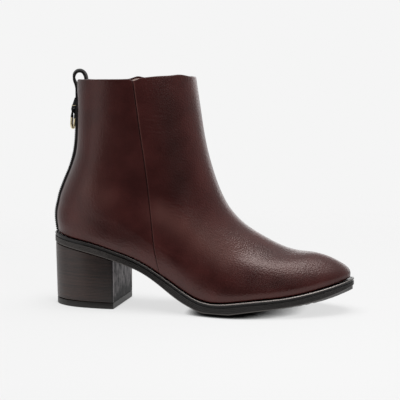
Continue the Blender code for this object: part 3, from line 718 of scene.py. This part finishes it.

# Pull: a closed frame of plated brass wire through the slider's lug, hanging down the back, black
# at its upper end. It is the one piece that swings.
PULL_LENGTH = 16.6
PULL_HALF_WIDTH = 4.2
PULL_CORNER = 1.7
PULL_WIRE = 0.65
PULL_BOW_WIRE = 1.2
DARK_END_LENGTH = 8.0
PULL_TILT_DEG = 4.0
WIRE_SIDES = 14
CORNER_STEPS = 8
quarter = np.linspace(0, math.pi / 2, CORNER_STEPS + 1)
bow = np.linspace(0, math.pi / 2, 2 * CORNER_STEPS + 1)
straight = np.linspace(PULL_CORNER, PULL_LENGTH - PULL_HALF_WIDTH, 8)[1:-1]
corner = np.array([PULL_HALF_WIDTH - PULL_CORNER, PULL_CORNER])
bow_middle = np.array([0.0, PULL_LENGTH - PULL_HALF_WIDTH])
half_frame = np.concatenate([
    [(0.0, 0.0)],
    corner + PULL_CORNER * np.stack([np.sin(quarter), -np.cos(quarter)], 1),
    [(PULL_HALF_WIDTH, down) for down in straight],
    bow_middle + PULL_HALF_WIDTH * np.stack([np.cos(bow), np.sin(bow)], 1),
])
pull_line = np.concatenate([half_frame, (half_frame * (-1, 1))[-2:0:-1]])
pull_run = unit(np.roll(pull_line, -1, 0) - np.roll(pull_line, 1, 0))
tilt = math.radians(PULL_TILT_DEG)
hang = np.array([-math.sin(tilt), 0.0, -math.cos(tilt)])
face_out = np.array([-math.cos(tilt), 0.0, math.sin(tilt)])
sideways = np.array([0.0, 1.0, 0.0])
pull_rings = []
for (aside, down), (run_aside, run_down) in zip(pull_line, pull_run):
    middle = np.array([hinge_x, 0.0, SLIDER_HINGE_Z]) + aside * sideways + down * hang
    edgeways = run_down * sideways - run_aside * hang
    thick = PULL_WIRE + (PULL_BOW_WIRE - PULL_WIRE) * ease((down - 3.0) / 4.0)
    pull_rings.append([middle + thick * (math.cos(a) * edgeways + math.sin(a) * face_out)
                       for a in np.linspace(0, 2 * math.pi, WIRE_SIDES, endpoint=False)])
faces = [face[::-1] for face in sheet_faces(len(pull_line), WIRE_SIDES, wrap_rows=True)]
bright = np.repeat(pull_line[:, 1] > DARK_END_LENGTH, WIRE_SIDES)
pull = make_piece("pull_frame", np.array(pull_rings).reshape(-1, 3), faces, [lacquer, brass], 60, bright)
stand_for(pull, "zip_pull", "zip_pull")

# Pull loop: a band of black ribbed webbing, folded over the collar at the back and sewn to the
# leather outside and to the lining inside.
LOOP_HALF_WIDTH = 2.6
LOOP_THICK = 2.1
LOOP_EDGE = 0.35
LOOP_ROWS = 120
LOOP_TWIST_DEG = 26.0
LOOP_TWIST_AT = 0.4
LOOP_TWIST_SHARE = 0.14

# Middle line of the band from the outer leg over the collar to the inner leg: x, z
LOOP_PATH = np.array([
    (21.9, 168.2), (21.9, 173.0), (21.8, 177.2), (20.9, 180.4), (19.6, 183.4), (19.1, 186.3),
    (19.9, 189.1), (22.2, 191.0), (25.1, 191.2), (27.7, 189.7), (29.3, 186.6), (29.6, 183.0),
    (28.8, 179.0), (27.3, 175.4), (26.3, 171.6), (26.1, 167.6),
])
band = spline(np.arange(len(LOOP_PATH)), LOOP_PATH, np.linspace(0, len(LOOP_PATH) - 1, LOOP_ROWS))
band_run = unit(np.gradient(band, axis=0))
band_length = np.concatenate([[0], np.cumsum(strides(band))])
section = []
for corner_y, corner_out, first in ((1, 1, 0.0), (-1, 1, 0.5), (-1, -1, 1.0), (1, -1, 1.5)):
    for a in math.pi * (first + np.linspace(0, 0.5, 4)):
        section.append((corner_y * (LOOP_HALF_WIDTH - LOOP_EDGE) + LOOP_EDGE * math.cos(a),
                        corner_out * (LOOP_THICK / 2 - LOOP_EDGE) + LOOP_EDGE * math.sin(a)))
section = np.array(section)
loop_rings = []
for (x, z), (run_x, run_z), far_along in zip(band, band_run, np.linspace(0, 1, LOOP_ROWS)):
    twist = math.radians(LOOP_TWIST_DEG) * math.exp(-((far_along - LOOP_TWIST_AT) / LOOP_TWIST_SHARE) ** 2)
    wide = section[:, 0] * math.cos(twist) - section[:, 1] * math.sin(twist)
    out = section[:, 0] * math.sin(twist) + section[:, 1] * math.cos(twist)
    loop_rings.append(np.stack([x - run_z * out, wide, z + run_x * out], 1))
count = len(section)
faces = sheet_faces(LOOP_ROWS, count)
faces.append(tuple(range(count - 1, -1, -1)))
faces.append(tuple(range((LOOP_ROWS - 1) * count, LOOP_ROWS * count)))

# Ribbed webbing: matt black, a rib across the band every 0.9 mm
RIB_MM = 0.9
webbing, tree = new_material("ribbed_webbing", {
    "Roughness": 0.8, "Specular IOR Level": 0.3, "Sheen Weight": 0.2, "Sheen Roughness": 0.5})
ribs = add_node(tree, "ShaderNodeTexWave", {
    "Vector": add_node(tree, "ShaderNodeUVMap", {}, uv_map="path"), "Scale": WAVE_PERIOD / RIB_MM,
    "Distortion": 0.3}, "Fac", bands_direction="Y")
finish(tree, ribs, "#0a090a", "#191617", relief=(ribs, 0.6, 0.2))
loop = make_piece("loop_band", np.concatenate(loop_rings), faces, [webbing], 60)
path_uv(loop, np.tile(section[:, 0], LOOP_ROWS), np.repeat(band_length, count))
stand_for(loop, "boot", "pull_loop")

# Insole: a leather-covered board inside the upper that the foot stands on, dished a little along
# its middle.
INSOLE_THICK = 2.6
INSOLE_DISH = 0.7
BOARD_IN = WALL + 1.2 * GAP
BOARD_EDGE = 0.5
PLATE_STEPS = 130
LID_COLUMNS = 12


def foot_ring(offset):
    """Plan of the upper's lower edge moved out by an offset, one for all or one per side step."""
    turn = np.linspace(0, math.pi, PLATE_STEPS + 1)[None, :]
    x, z, middle, half = upper_side(np.zeros(1), turn)
    plan = closed(np.stack([x, middle - half], 2), np.stack([x, middle + half], 2))[0]
    run = np.roll(plan, -1, 0) - np.roll(plan, 1, 0)
    normal = unit(np.stack([run[:, 1], -run[:, 0]], 1))
    offset = np.broadcast_to(np.asarray(offset, float), (1, PLATE_STEPS + 1))
    return plan + normal * closed(offset, offset)[0][:, None]


def lift(plan, heights):
    return np.column_stack([plan, heights])


def lid(edge, start, first, up, bulge):
    """A cover over a pointed ring whose points are numbered from start, with inner points numbered
    from first. bulge(points, spot) moves the inner points; spot is -1 to 1 across the boot."""
    steps = len(edge) // 2
    spots = np.linspace(-1, 1, LID_COLUMNS + 1)[1:-1]
    near, far = edge[1:steps], edge[:steps:-1]
    inner = near[:, None] + (far - near)[:, None] * ((spots + 1) / 2)[None, :, None]
    inner = bulge(inner, spots[None, :])
    rows = [[start] * (LID_COLUMNS + 1)]
    for k in range(1, steps):
        middle = first + (k - 1) * len(spots) + np.arange(len(spots))
        rows.append([start + k, *middle.tolist(), start + 2 * steps - k])
    rows.append([start + steps] * (LID_COLUMNS + 1))
    faces = []
    for back, front in zip(rows[:-1], rows[1:]):
        for m in range(LID_COLUMNS):
            face = list(dict.fromkeys((back[m], front[m], front[m + 1], back[m + 1])))
            faces.append(face if up else face[::-1])
    return inner.reshape(-1, 3), faces


def plate(name, rings, materials, sharp_deg, over, under):
    """A solid from pointed rings stacked upwards, with a cover over and one under it."""
    count = 2 * PLATE_STEPS
    points = np.concatenate(rings)
    faces = sheet_faces(len(rings), count)
    for edge, start, up, bulge in ((rings[-1], (len(rings) - 1) * count, True, over),
                                   (rings[0], 0, False, under)):
        inner, cover = lid(edge, start, len(points), up, bulge)
        points = np.concatenate([points, inner])
        faces += cover
    return make_piece(name, points, faces, materials, sharp_deg)


def by_sole(rise):
    """A cover that follows the welt's top face, moved up by rise."""
    def follow(points, spot):
        points[..., 2] = along(SOLE_TOP, points[..., 0]) + rise
        return points
    return follow


def dished(points, spot):
    points[..., 2] = along(SOLE_TOP, points[..., 0]) + GAP + INSOLE_THICK - INSOLE_DISH * (1 - spot ** 2)
    return points


# Sheepskin sock over board: pale beige, matt and soft
NAP_MM = 9.0
sheepskin, tree = new_material("sheepskin_sock", {"Roughness": 0.7, "Specular IOR Level": 0.3})
here = add_node(tree, "ShaderNodeTexCoord", {}, "Object")
nap = add_node(tree, "ShaderNodeTexNoise", {
    "Vector": here, "Scale": 1 / (NAP_MM * MM), "Detail": 5.0}, "Fac")
finish(tree, nap, "#a98570", "#cbaa93", relief=(nap, 0.15, 0.3))
board = foot_ring(-BOARD_IN)
board_z = along(SOLE_TOP, board[:, 0]) + GAP
insole_rings = [lift(board, board_z), lift(board, board_z + INSOLE_THICK - BOARD_EDGE)]
brink = foot_ring(-BOARD_IN - BOARD_EDGE)
insole_rings.append(lift(brink, along(SOLE_TOP, brink[:, 0]) + GAP + INSOLE_THICK))
insole = plate("insole_board", insole_rings, [sheepskin], 40, dished, by_sole(GAP))
stand_for(insole, "boot", "insole")

# Welt: a thin moulded rubber strip between upper and outsole, with a bead along its top edge that
# carries a pale painted highlight, most of all from the ball of the foot to the toe.
WELT_THICK = 2.6
BEAD_RADIUS = 1.0
BEAD_GROOVE = 0.6
WELT_SHELF = -0.7

# How far the sole stands out from the upper: share of the length, offset
SOLE_LEDGE = [(0.0, 3.0), (0.08, 1.7), (0.4, 1.6), (0.65, 2.3), (0.9, 2.5), (1.0, 3.2)]
ledge = along(SOLE_LEDGE, (1 - np.cos(np.linspace(0, math.pi, PLATE_STEPS + 1))) / 2)

# Painted highlight on the bead along the boot: x, share
BEAD_PAINTED_HIGHLIGHT = [(0, 0.05), (60, 0.2), (115, 0.6), (150, 1.0), (190, 1.0), (232, 1.1), (244, 0.6), (250, 0.05)]
welt_side = [(BEAD_GROOVE, -WELT_THICK, 0.0), (BEAD_GROOVE, -2.05, 0.0)]
# The painted highlight lies on the part of the bead that faces up and out
for a in np.linspace(-80, 120, 21):
    welt_side.append((BEAD_RADIUS - BEAD_RADIUS * math.cos(math.radians(a)),
                      -BEAD_RADIUS + BEAD_RADIUS * math.sin(math.radians(a)),
                      math.exp(-((a - 55) / 26) ** 2)))
welt_side += [(1.7, -0.6, 0.0), (2.1, WELT_SHELF, 0.0)]
welt_rings = []
welt_highlight = []
for inward, rise, painted_highlight in welt_side:
    edge = foot_ring(ledge - inward)
    welt_rings.append(lift(edge, along(SOLE_TOP, edge[:, 0]) + rise))
    welt_highlight.append(painted_highlight * along(BEAD_PAINTED_HIGHLIGHT, edge[:, 0]))

# Moulded rubber, black and polished on the edge, with a pale painted highlight: a fine haze, a soft gloss
HAZE_MM = 4.0
edge_rubber, tree = new_material("polished_rubber", {"Specular IOR Level": 0.35, "IOR": 1.52})
here = add_node(tree, "ShaderNodeTexCoord", {}, "Object")
haze = add_node(tree, "ShaderNodeTexNoise", {
    "Vector": here, "Scale": 1 / (HAZE_MM * MM), "Detail": 4.0}, "Fac")
# Painted highlight, from the point attribute
painted_highlight_fac = add_node(tree, "ShaderNodeAttribute", {}, "Fac", attribute_name="painted_highlight")
finish(tree, haze, "#121111", "#232020", painted_tones=[(painted_highlight_fac, "#cfc6c0")], gloss=(0.28, 0.38))
welt = plate("welt_strip", welt_rings, [edge_rubber], 50, by_sole(WELT_SHELF), by_sole(-WELT_THICK))
paint(welt, "painted_highlight", np.concatenate(welt_highlight))
stand_for(welt, "boot", "welt")

# Outsole: one moulding of black rubber with an arch, a lifted toe, grooves round its side and a
# shallow tread under the forefoot. It is glued under the welt.
CROWN = 2.8
CROWN_FROM_X = 95.0
CROWN_FULL_X = 130.0
FLAT_SHARE = 0.62
GROOVE_DEPTH = 0.2
GROOVES = 3
GROOVES_FROM = 0.3
GROOVE_PITCH = 0.22
TREAD_PITCH = 6.0
TREAD_DEPTH = 0.7
TREAD_SLANT = 9.0
TREAD_FROM_X = 152.0
TREAD_TO_X = 232.0

# Height of the underside along its middle: x, z. Below zero it is cut flat at zero.
SOLE_BOTTOM = [
    (0, 52.0), (20, 48.8), (40, 44.9), (60, 39.7), (70, 36.4), (80, 32.7), (90, 27.5), (100, 20.8),
    (110, 13.0), (120, 6.3), (128, 2.4), (136, 0.0), (145, -1.1), (155, -0.4), (165, 1.2),
    (180, 3.3), (200, 5.6), (220, 8.9), (235, 13.1), (250, 18.9),
]


def sole_bottom(x):
    return np.maximum(along(SOLE_BOTTOM, x), 0.0)


def crown(x):
    return CROWN * ease((x - CROWN_FROM_X) / (CROWN_FULL_X - CROWN_FROM_X))


def tread(points, spot):
    """The crowned underside, with slanted grooves under the forefoot."""
    x = points[..., 0]
    edge = np.clip((np.abs(spot) - FLAT_SHARE) / (1 - FLAT_SHARE), 0, 1)
    wave = np.mod(x + TREAD_SLANT * np.abs(spot), TREAD_PITCH) / TREAD_PITCH
    groove = ease(1 - np.abs(wave - 0.5) / 0.16)
    groove = groove * ease((x - TREAD_FROM_X) / 4) * ease((TREAD_TO_X - x) / 6) * (np.abs(spot) < 0.9)
    points[..., 2] = sole_bottom(x) + crown(x) * edge + TREAD_DEPTH * groove
    return points


# Side of the outsole from the bottom up: share of its height, inward depth
side_steps = [(0.0, 0.9), (0.05, 0.45), (0.11, 0.12), (0.16, 0.0)]
for groove in range(GROOVES):
    base = GROOVES_FROM + groove * GROOVE_PITCH
    side_steps += [(base - 0.01, 0.0), (base + 0.03, GROOVE_DEPTH * 0.85), (base + 0.065, GROOVE_DEPTH),
                   (base + 0.10, GROOVE_DEPTH * 0.85), (base + 0.14, 0.0)]
side_steps += [(0.95, 0.0), (1.0, 0.2)]
sole_rings = []
sole_highlight = []
for share_up, depth in side_steps:
    edge = foot_ring(ledge - depth)
    foot_z = sole_bottom(edge[:, 0]) + crown(edge[:, 0])
    head_z = along(SOLE_TOP, edge[:, 0]) - WELT_THICK - GAP
    sole_rings.append(lift(edge, foot_z + share_up * (head_z - foot_z)))
    # Painted highlight along the side's lower bevel, and towards the heel
    sole_highlight.append(np.maximum(0.9 * (0.02 < share_up < 0.14), 0.35 * ease((80 - edge[:, 0]) / 40)))

# Moulded rubber, black and satin: finely mottled, with a grey painted highlight along the lower bevel
# and towards the heel
MOTTLE_MM = 1.6
sole_rubber, tree = new_material("moulded_rubber", {"Specular IOR Level": 0.35, "IOR": 1.52})
here = add_node(tree, "ShaderNodeTexCoord", {}, "Object")
mottle = add_node(tree, "ShaderNodeTexNoise", {
    "Vector": here, "Scale": 1 / (MOTTLE_MM * MM), "Detail": 4.0}, "Fac")
# Painted highlight, from the point attribute
painted_highlight_fac = add_node(tree, "ShaderNodeAttribute", {}, "Fac", attribute_name="painted_highlight")
finish(tree, mottle, "#191615", "#292523", painted_tones=[(painted_highlight_fac, "#57514e")], gloss=(0.38, 0.55),
       relief=(mottle, 0.12, 0.1))
outsole = plate("outsole_rubber", sole_rings, [sole_rubber], 35, by_sole(-WELT_THICK - GAP), tread)
paint(outsole, "painted_highlight", np.concatenate(sole_highlight))
stand_for(outsole, "boot", "outsole")

# Heel: a block built up of stained leather lifts a little over a millimetre thick, D shaped in plan,
# flat in front, glued and nailed under the outsole.
HEEL_BREAST_X = 59.4
HEEL_FOOT_GROW = 0.05
HEEL_SEAT_GROW = 0.45
TOP_PIECE_HEIGHT = 4.9
HEEL_TOP_Z = 45.3
BREAST_COLUMNS = 20
HEEL_STEPS = 40
LIFT_MM = 1.4
LIFT_GROOVE = 0.06
JOINT_IN = 0.6
JOINT_HEIGHT = 0.6
BREAST_EDGE = 0.8
# Painted shade: width along the breast's corner, then width towards the breast
PAINTED_CORNER_SHADE_WIDTH = 2.4
PAINTED_SHADE_WIDTH = 32.0
HEEL_PLAN_SIZE = 28.0

# Half width of the heel at the floor: x, half width. The first row is the rounded back.
HEEL_HALF_WIDTH = np.array([
    (4.2, 0.0), (5.4, 8.0), (9.9, 15.6), (17.4, 21.6), (26.2, 25.4), (36.5, 27.4), (47.0, 28.3),
    (59.4, 28.6),
])
heel_reach = np.sqrt(HEEL_HALF_WIDTH[:, 0] - HEEL_BACK_X)
heel_turn = np.linspace(0, math.pi / 2, HEEL_STEPS + 1)
heel_x = HEEL_BACK_X + (HEEL_BREAST_X - HEEL_BACK_X) * (1 - np.cos(heel_turn))
heel_half = spline(heel_reach, HEEL_HALF_WIDTH[:, 1], np.sqrt(heel_x - HEEL_BACK_X))
rounded = np.clip((heel_x - HEEL_BREAST_X + BREAST_EDGE) / BREAST_EDGE, 0, 1)
heel_half = heel_half - BREAST_EDGE * (1 - np.sqrt(1 - 0.999 * rounded ** 2)) * (rounded > 0)


def heel_ring(grow_by, level, joint=JOINT_HEIGHT):
    """A D-shaped ring at a level, or just under the outsole where that is lower: the outer side
    from the back, across the breast, and the inner side back."""
    outer = np.column_stack([heel_x, -heel_half])
    breast_y = np.linspace(-heel_half[-1], heel_half[-1], BREAST_COLUMNS + 1)[1:-1]
    breast = np.column_stack([np.full(len(breast_y), HEEL_BREAST_X), breast_y])
    plan = np.concatenate([outer, breast, (outer * (1, -1))[:0:-1]])
    middle = np.array([HEEL_BREAST_X, 0.0])
    plan = middle + (plan - middle) * (1 + grow_by / HEEL_PLAN_SIZE)
    return lift(plan, np.minimum(level, sole_bottom(plan[:, 0]) - GAP - joint))


def heel_solid(name, rings, materials, sharp_deg):
    """A closed block from D-shaped rings stacked upwards."""
    count = len(rings[0])
    points = np.concatenate([*rings, [ring.mean(0) for ring in (rings[0], rings[-1])]])
    faces = sheet_faces(len(rings), count)
    low_middle, high_middle = len(points) - 2, len(points) - 1
    top = (len(rings) - 1) * count
    for j in range(count):
        faces.append(((j + 1) % count, j, low_middle))
        faces.append((top + j, top + (j + 1) % count, high_middle))
    return make_piece(name, points, faces, materials, sharp_deg)


heel_rings = [heel_ring(HEEL_FOOT_GROW - JOINT_IN, TOP_PIECE_HEIGHT + GAP)]
lifts = int(HEEL_TOP_Z / LIFT_MM)
heel_low = TOP_PIECE_HEIGHT + GAP + JOINT_HEIGHT
for k in range(lifts):
    for part, inward in ((0.0, LIFT_GROOVE), (0.18, 0.0), (0.5, 0.0), (0.82, 0.0)):
        share_up = (k + part) / lifts
        growth = HEEL_FOOT_GROW + (HEEL_SEAT_GROW - HEEL_FOOT_GROW) * share_up - inward
        heel_rings.append(heel_ring(growth, heel_low + share_up * (HEEL_TOP_Z - heel_low)))
heel_rings.append(heel_ring(HEEL_SEAT_GROW, math.inf))
heel_rings.append(heel_ring(HEEL_SEAT_GROW - JOINT_IN, math.inf, 0.0))

# Stacked leather, stained grey brown: each lift has its own tone, fine fibres run along it and the
# edge has a waxed gloss; painted shade darkens it towards the breast, most along the breast's corner
FIBRE_MM = 0.5
FIBRE_STRETCH = 0.06
stack, tree = new_material("stacked_leather_lifts", {
    "Specular IOR Level": 0.35, "Coat Weight": 0.3, "Coat Roughness": 0.22})
here = add_node(tree, "ShaderNodeTexCoord", {}, "Object")
height = add_node(tree, "ShaderNodeSeparateXYZ", {"Vector": here}, "Z")
lifts_up = add_node(tree, "ShaderNodeMath", {0: height, 1: 1 / (LIFT_MM * MM)}, operation="MULTIPLY")
lift_number = add_node(tree, "ShaderNodeMath", {0: lifts_up}, operation="FLOOR")
own_tone = add_node(tree, "ShaderNodeTexWhiteNoise", {"W": lift_number}, "Value", noise_dimensions="1D")
drawn_out = add_node(tree, "ShaderNodeMapping", {
    "Vector": here, "Scale": (FIBRE_STRETCH, FIBRE_STRETCH, 1.0)})
fibres = add_node(tree, "ShaderNodeTexNoise", {
    "Vector": drawn_out, "Scale": 1 / (FIBRE_MM * MM), "Detail": 3.0}, "Fac")
layered = add_node(tree, "ShaderNodeMath", {0: own_tone, 1: 0.3, 2: fibres}, operation="MULTIPLY_ADD")
# Painted shade, from the point attribute
heel_painted_shade_fac = add_node(tree, "ShaderNodeAttribute", {}, "Fac", attribute_name="heel_painted_shade")
finish(tree, layered, "#150c0a", "#3e2922", (0.3, 0.95), [(heel_painted_shade_fac, "#070606")],
       relief=(fibres, 0.15, 0.1))
surface(tree, {"Roughness": add_node(tree, "ShaderNodeMapRange", {
    "Value": fibres, "To Min": 0.34, "To Max": 0.55})})

# Breast cover: one smooth stained leather flap down the front of the block, with brushed streaks,
# painted shade towards the bottom and a painted highlight along its side edges
STREAK_MM = 6.0
STREAK_STRETCH = 0.7
flap, tree = new_material("stained_leather_flap", {"Specular IOR Level": 0.4})
here = add_node(tree, "ShaderNodeTexCoord", {}, "Object")
brushed = add_node(tree, "ShaderNodeMapping", {"Vector": here, "Scale": (1.0, 1.0, STREAK_STRETCH)})
streaks = add_node(tree, "ShaderNodeTexNoise", {
    "Vector": brushed, "Scale": 1 / (STREAK_MM * MM), "Detail": 4.0, "Roughness": 0.7}, "Fac")
place = add_node(tree, "ShaderNodeSeparateXYZ", {"Vector": here}).node.outputs
# Painted shade towards the bottom, and a painted highlight along the side edges
painted_shade_low = add_node(tree, "ShaderNodeMapRange", {
    "Value": place["Z"], "From Min": 5 * MM, "From Max": 22 * MM, "To Min": 0.6},
    interpolation_type="SMOOTHSTEP")
off_middle = add_node(tree, "ShaderNodeMath", {0: place["Y"]}, operation="ABSOLUTE")
painted_edge_highlight = add_node(tree, "ShaderNodeMapRange", {
    "Value": off_middle, "From Min": 26.0 * MM, "From Max": 27.4 * MM, "To Max": 0.2})
smear = add_node(tree, "ShaderNodeMath", {0: streaks, 1: painted_shade_low, 2: painted_edge_highlight}, operation="MULTIPLY_ADD")
finish(tree, smear, "#131112", "#6d6567", (0.36, 0.66), relief=(streaks, 0.3, 0.25))
surface(tree, {"Roughness": add_node(tree, "ShaderNodeMapRange", {
    "Value": smear, "From Min": 0.3, "From Max": 0.7, "To Min": 0.75, "To Max": 0.45})})
heel = heel_solid("heel_stack", heel_rings, [stack, flap], 45)
facing_toe = [int(face.normal.x > 0.9) for face in heel.data.polygons]
heel.data.polygons.foreach_set("material_index", facing_toe)
# Painted shade: darker towards the breast, darkest along its corner
to_breast = HEEL_BREAST_X - np.concatenate(heel_rings)[:, 0]
paint(heel, "heel_painted_shade", 0.6 * ease(1 - to_breast / PAINTED_SHADE_WIDTH) + 0.4 * ease(1 - to_breast / PAINTED_CORNER_SHADE_WIDTH))
stand_for(heel, "boot", "heel_block")

# Top piece: the black rubber wear lift nailed under the heel, with a broken edge. It is the only part
# of the heel that touches the floor.

# Side of the top piece from the floor up: growth, height
TOP_PIECE_SIDE = [(-0.35, 0.0), (-0.1, 0.2), (0.0, 0.6), (0.0, TOP_PIECE_HEIGHT - 0.35),
                  (-0.25, TOP_PIECE_HEIGHT)]
top_rings = [heel_ring(growth, height) for growth, height in TOP_PIECE_SIDE]
top_piece = heel_solid("heel_top_piece", top_rings, [sole_rubber], 45)
stand_for(top_piece, "boot", "top_piece")

# Studio: a pale floor that fades into a plain pale background, large soft lights, and the camera
# at the photograph's angle. The floor and the lights have their widths in metres.
AIM = np.array([125.0, 0.0, 87.5])
YAW_DEG = 13.0
CAMERA_DISTANCE = 1060.0
CAMERA_HEIGHT = 218.0
FOCAL_PIXELS = 1318.0
FRAME_PIXELS = 400.0
SENSOR = 36.0
BACKDROP = "#f5f5f5"
FLOOR_RADIUS = 0.7
FLOOR_SOLID = 0.25
FLOOR_SIDES = 96
# Painted glow of the floor, and the reach of its painted contact shadow
PAINTED_FLOOR_GLOW = 0.69
PAINTED_CONTACT_SHADOW_MM = 9.0
BRIGHT_SIDE = (0.0, 1.0, 0.35)
scene = bpy.context.scene
scene.view_settings.view_transform = "Standard"


def look_at(name, data, place, target):
    """A camera or light at a place, looking at a target, in boot millimetres."""
    made = bpy.data.objects.new(name, data)
    scene.collection.objects.link(made)
    spot = BOOT_ORIGIN + np.asarray(place) * MM
    made.location = spot
    gaze = Vector(BOOT_ORIGIN + np.asarray(target) * MM) - Vector(spot)
    made.rotation_euler = gaze.to_track_quat("-Z", "Y").to_euler()
    return made


yaw = math.radians(YAW_DEG)
stand = AIM + CAMERA_DISTANCE * np.array([math.sin(yaw), -math.cos(yaw), 0.0])
stand[2] = CAMERA_HEIGHT
camera = bpy.data.cameras.new("photo_camera")
camera.sensor_width = SENSOR
camera.lens = FOCAL_PIXELS / FRAME_PIXELS * SENSOR
scene.camera = look_at("photo_camera", camera, stand, AIM)

# Soft boxes: name, place and target in boot millimetres, width, height, watts
LIGHTS = [
    ("key_over_toe", (440, 120, 1350), (190, 0, 30), 0.4, 0.4, 5.6),
    ("behind", (180, 1300, 420), (125, 0, 80), 2.0, 0.5, 5.0),
    ("floor_wash", (125, 0, 1500), (125, 0, 0), 1.4, 1.4, 47.5),
    ("before_instep", (285, -255, 305), (140, -20, 65), 0.16, 0.16, 0.4),
    ("heel_side", (-520, -780, 130), (45, -20, 110), 1.3, 0.6, 2.1),
]
lamps = {}
for name, place, target, width, height, watts in LIGHTS:
    lamp = bpy.data.lights.new(name, "AREA")
    lamp.shape = "RECTANGLE"
    lamp.size = width
    lamp.size_y = height
    lamp.energy = watts
    lamps[name] = look_at(name, lamp, place, target)

# The background is one pale tone to the camera; as light it is bright above and behind the boot,
# half as bright at its ends and dark on the camera's side
world = bpy.data.worlds.new("studio")
scene.world = world
world.use_nodes = True
tree = world.node_tree
tree.nodes.clear()
seen = add_node(tree, "ShaderNodeBackground", {"Color": linear(BACKDROP), "Strength": 1.0})
direction = add_node(tree, "ShaderNodeTexCoord", {}, "Generated")
behind = add_node(tree, "ShaderNodeVectorMath", {
    0: direction, 1: BRIGHT_SIDE}, "Value", operation="DOT_PRODUCT")
bright = add_node(tree, "ShaderNodeMapRange", {
    "Value": behind, "From Min": -1.0, "From Max": 0.9, "To Min": 0.03, "To Max": 0.7},
    interpolation_type="SMOOTHSTEP")
light = add_node(tree, "ShaderNodeBackground", {"Color": (1.0, 1.0, 1.0, 1.0), "Strength": bright})
ray = add_node(tree, "ShaderNodeLightPath", {}, "Is Camera Ray")
add_node(tree, "ShaderNodeOutputWorld", {
    "Surface": add_node(tree, "ShaderNodeMixShader", {0: ray, 1: light, 2: seen})})

# Floor: a white acrylic sheet that glows evenly, a painted glow that also lightens the shadows under the
# boot, dimmed close to the sole and heel as a painted contact shadow. A light of its own washes it and
# only the sole and heel shade that light, so the shadow stays under the boot
spokes = np.linspace(0, 2 * math.pi, FLOOR_SIDES, endpoint=False)
circle = FLOOR_RADIUS * np.stack([np.cos(spokes), np.sin(spokes), np.zeros(FLOOR_SIDES)], 1)
mesh = bpy.data.meshes.new("floor")
mesh.from_pydata(circle.tolist(), [], [tuple(range(FLOOR_SIDES))])
acrylic, tree = new_material("white_acrylic", {
    "Base Color": linear("#545454"), "Roughness": 0.8, "Specular IOR Level": 0.0,
    "Emission Color": (1.0, 1.0, 1.0, 1.0)})
# Painted contact shadow: the glow is dimmed where the sole or heel is close
painted_contact_shadow = add_node(tree, "ShaderNodeAmbientOcclusion", {"Distance": PAINTED_CONTACT_SHADOW_MM * MM}, "AO")
here = add_node(tree, "ShaderNodeTexCoord", {}, "Object")
away = add_node(tree, "ShaderNodeVectorMath", {0: here}, "Value", operation="LENGTH")
surface(tree, {
    "Emission Strength": add_node(tree, "ShaderNodeMapRange", {
        "Value": painted_contact_shadow, "From Min": 0.15, "From Max": 0.62, "To Max": PAINTED_FLOOR_GLOW}),
    "Alpha": add_node(tree, "ShaderNodeMapRange", {
        "Value": away, "From Min": FLOOR_SOLID, "From Max": FLOOR_RADIUS * 0.95,
        "To Min": 1.0, "To Max": 0.0}, interpolation_type="SMOOTHSTEP")})
mesh.materials.append(acrylic)
floor = bpy.data.objects.new("floor", mesh)
scene.collection.objects.link(floor)
washed = bpy.data.collections.new("washed_by_floor_light")
washed.objects.link(floor)
lamps["floor_wash"].light_linking.receiver_collection = washed
shading = bpy.data.collections.new("shading_the_floor_light")
for piece in (outsole, heel, top_piece):
    shading.objects.link(piece)
lamps["floor_wash"].light_linking.blocker_collection = shading

# Black card on the camera's side, seen only in reflections, so the boot's side stays deep in tone
CARD = [(-20.0, -110.0, 0.5), (330.0, -110.0, 0.5), (330.0, -110.0, 240.0), (-20.0, -110.0, 240.0)]
velvet, _ = new_material("black_velvet", {"Base Color": linear("#050505"), "Roughness": 0.9})
card = make_piece("black_card", CARD, [(0, 1, 2, 3)], [velvet])
for kind in ("camera", "diffuse", "shadow", "transmission"):
    setattr(card, "visible_" + kind, False)
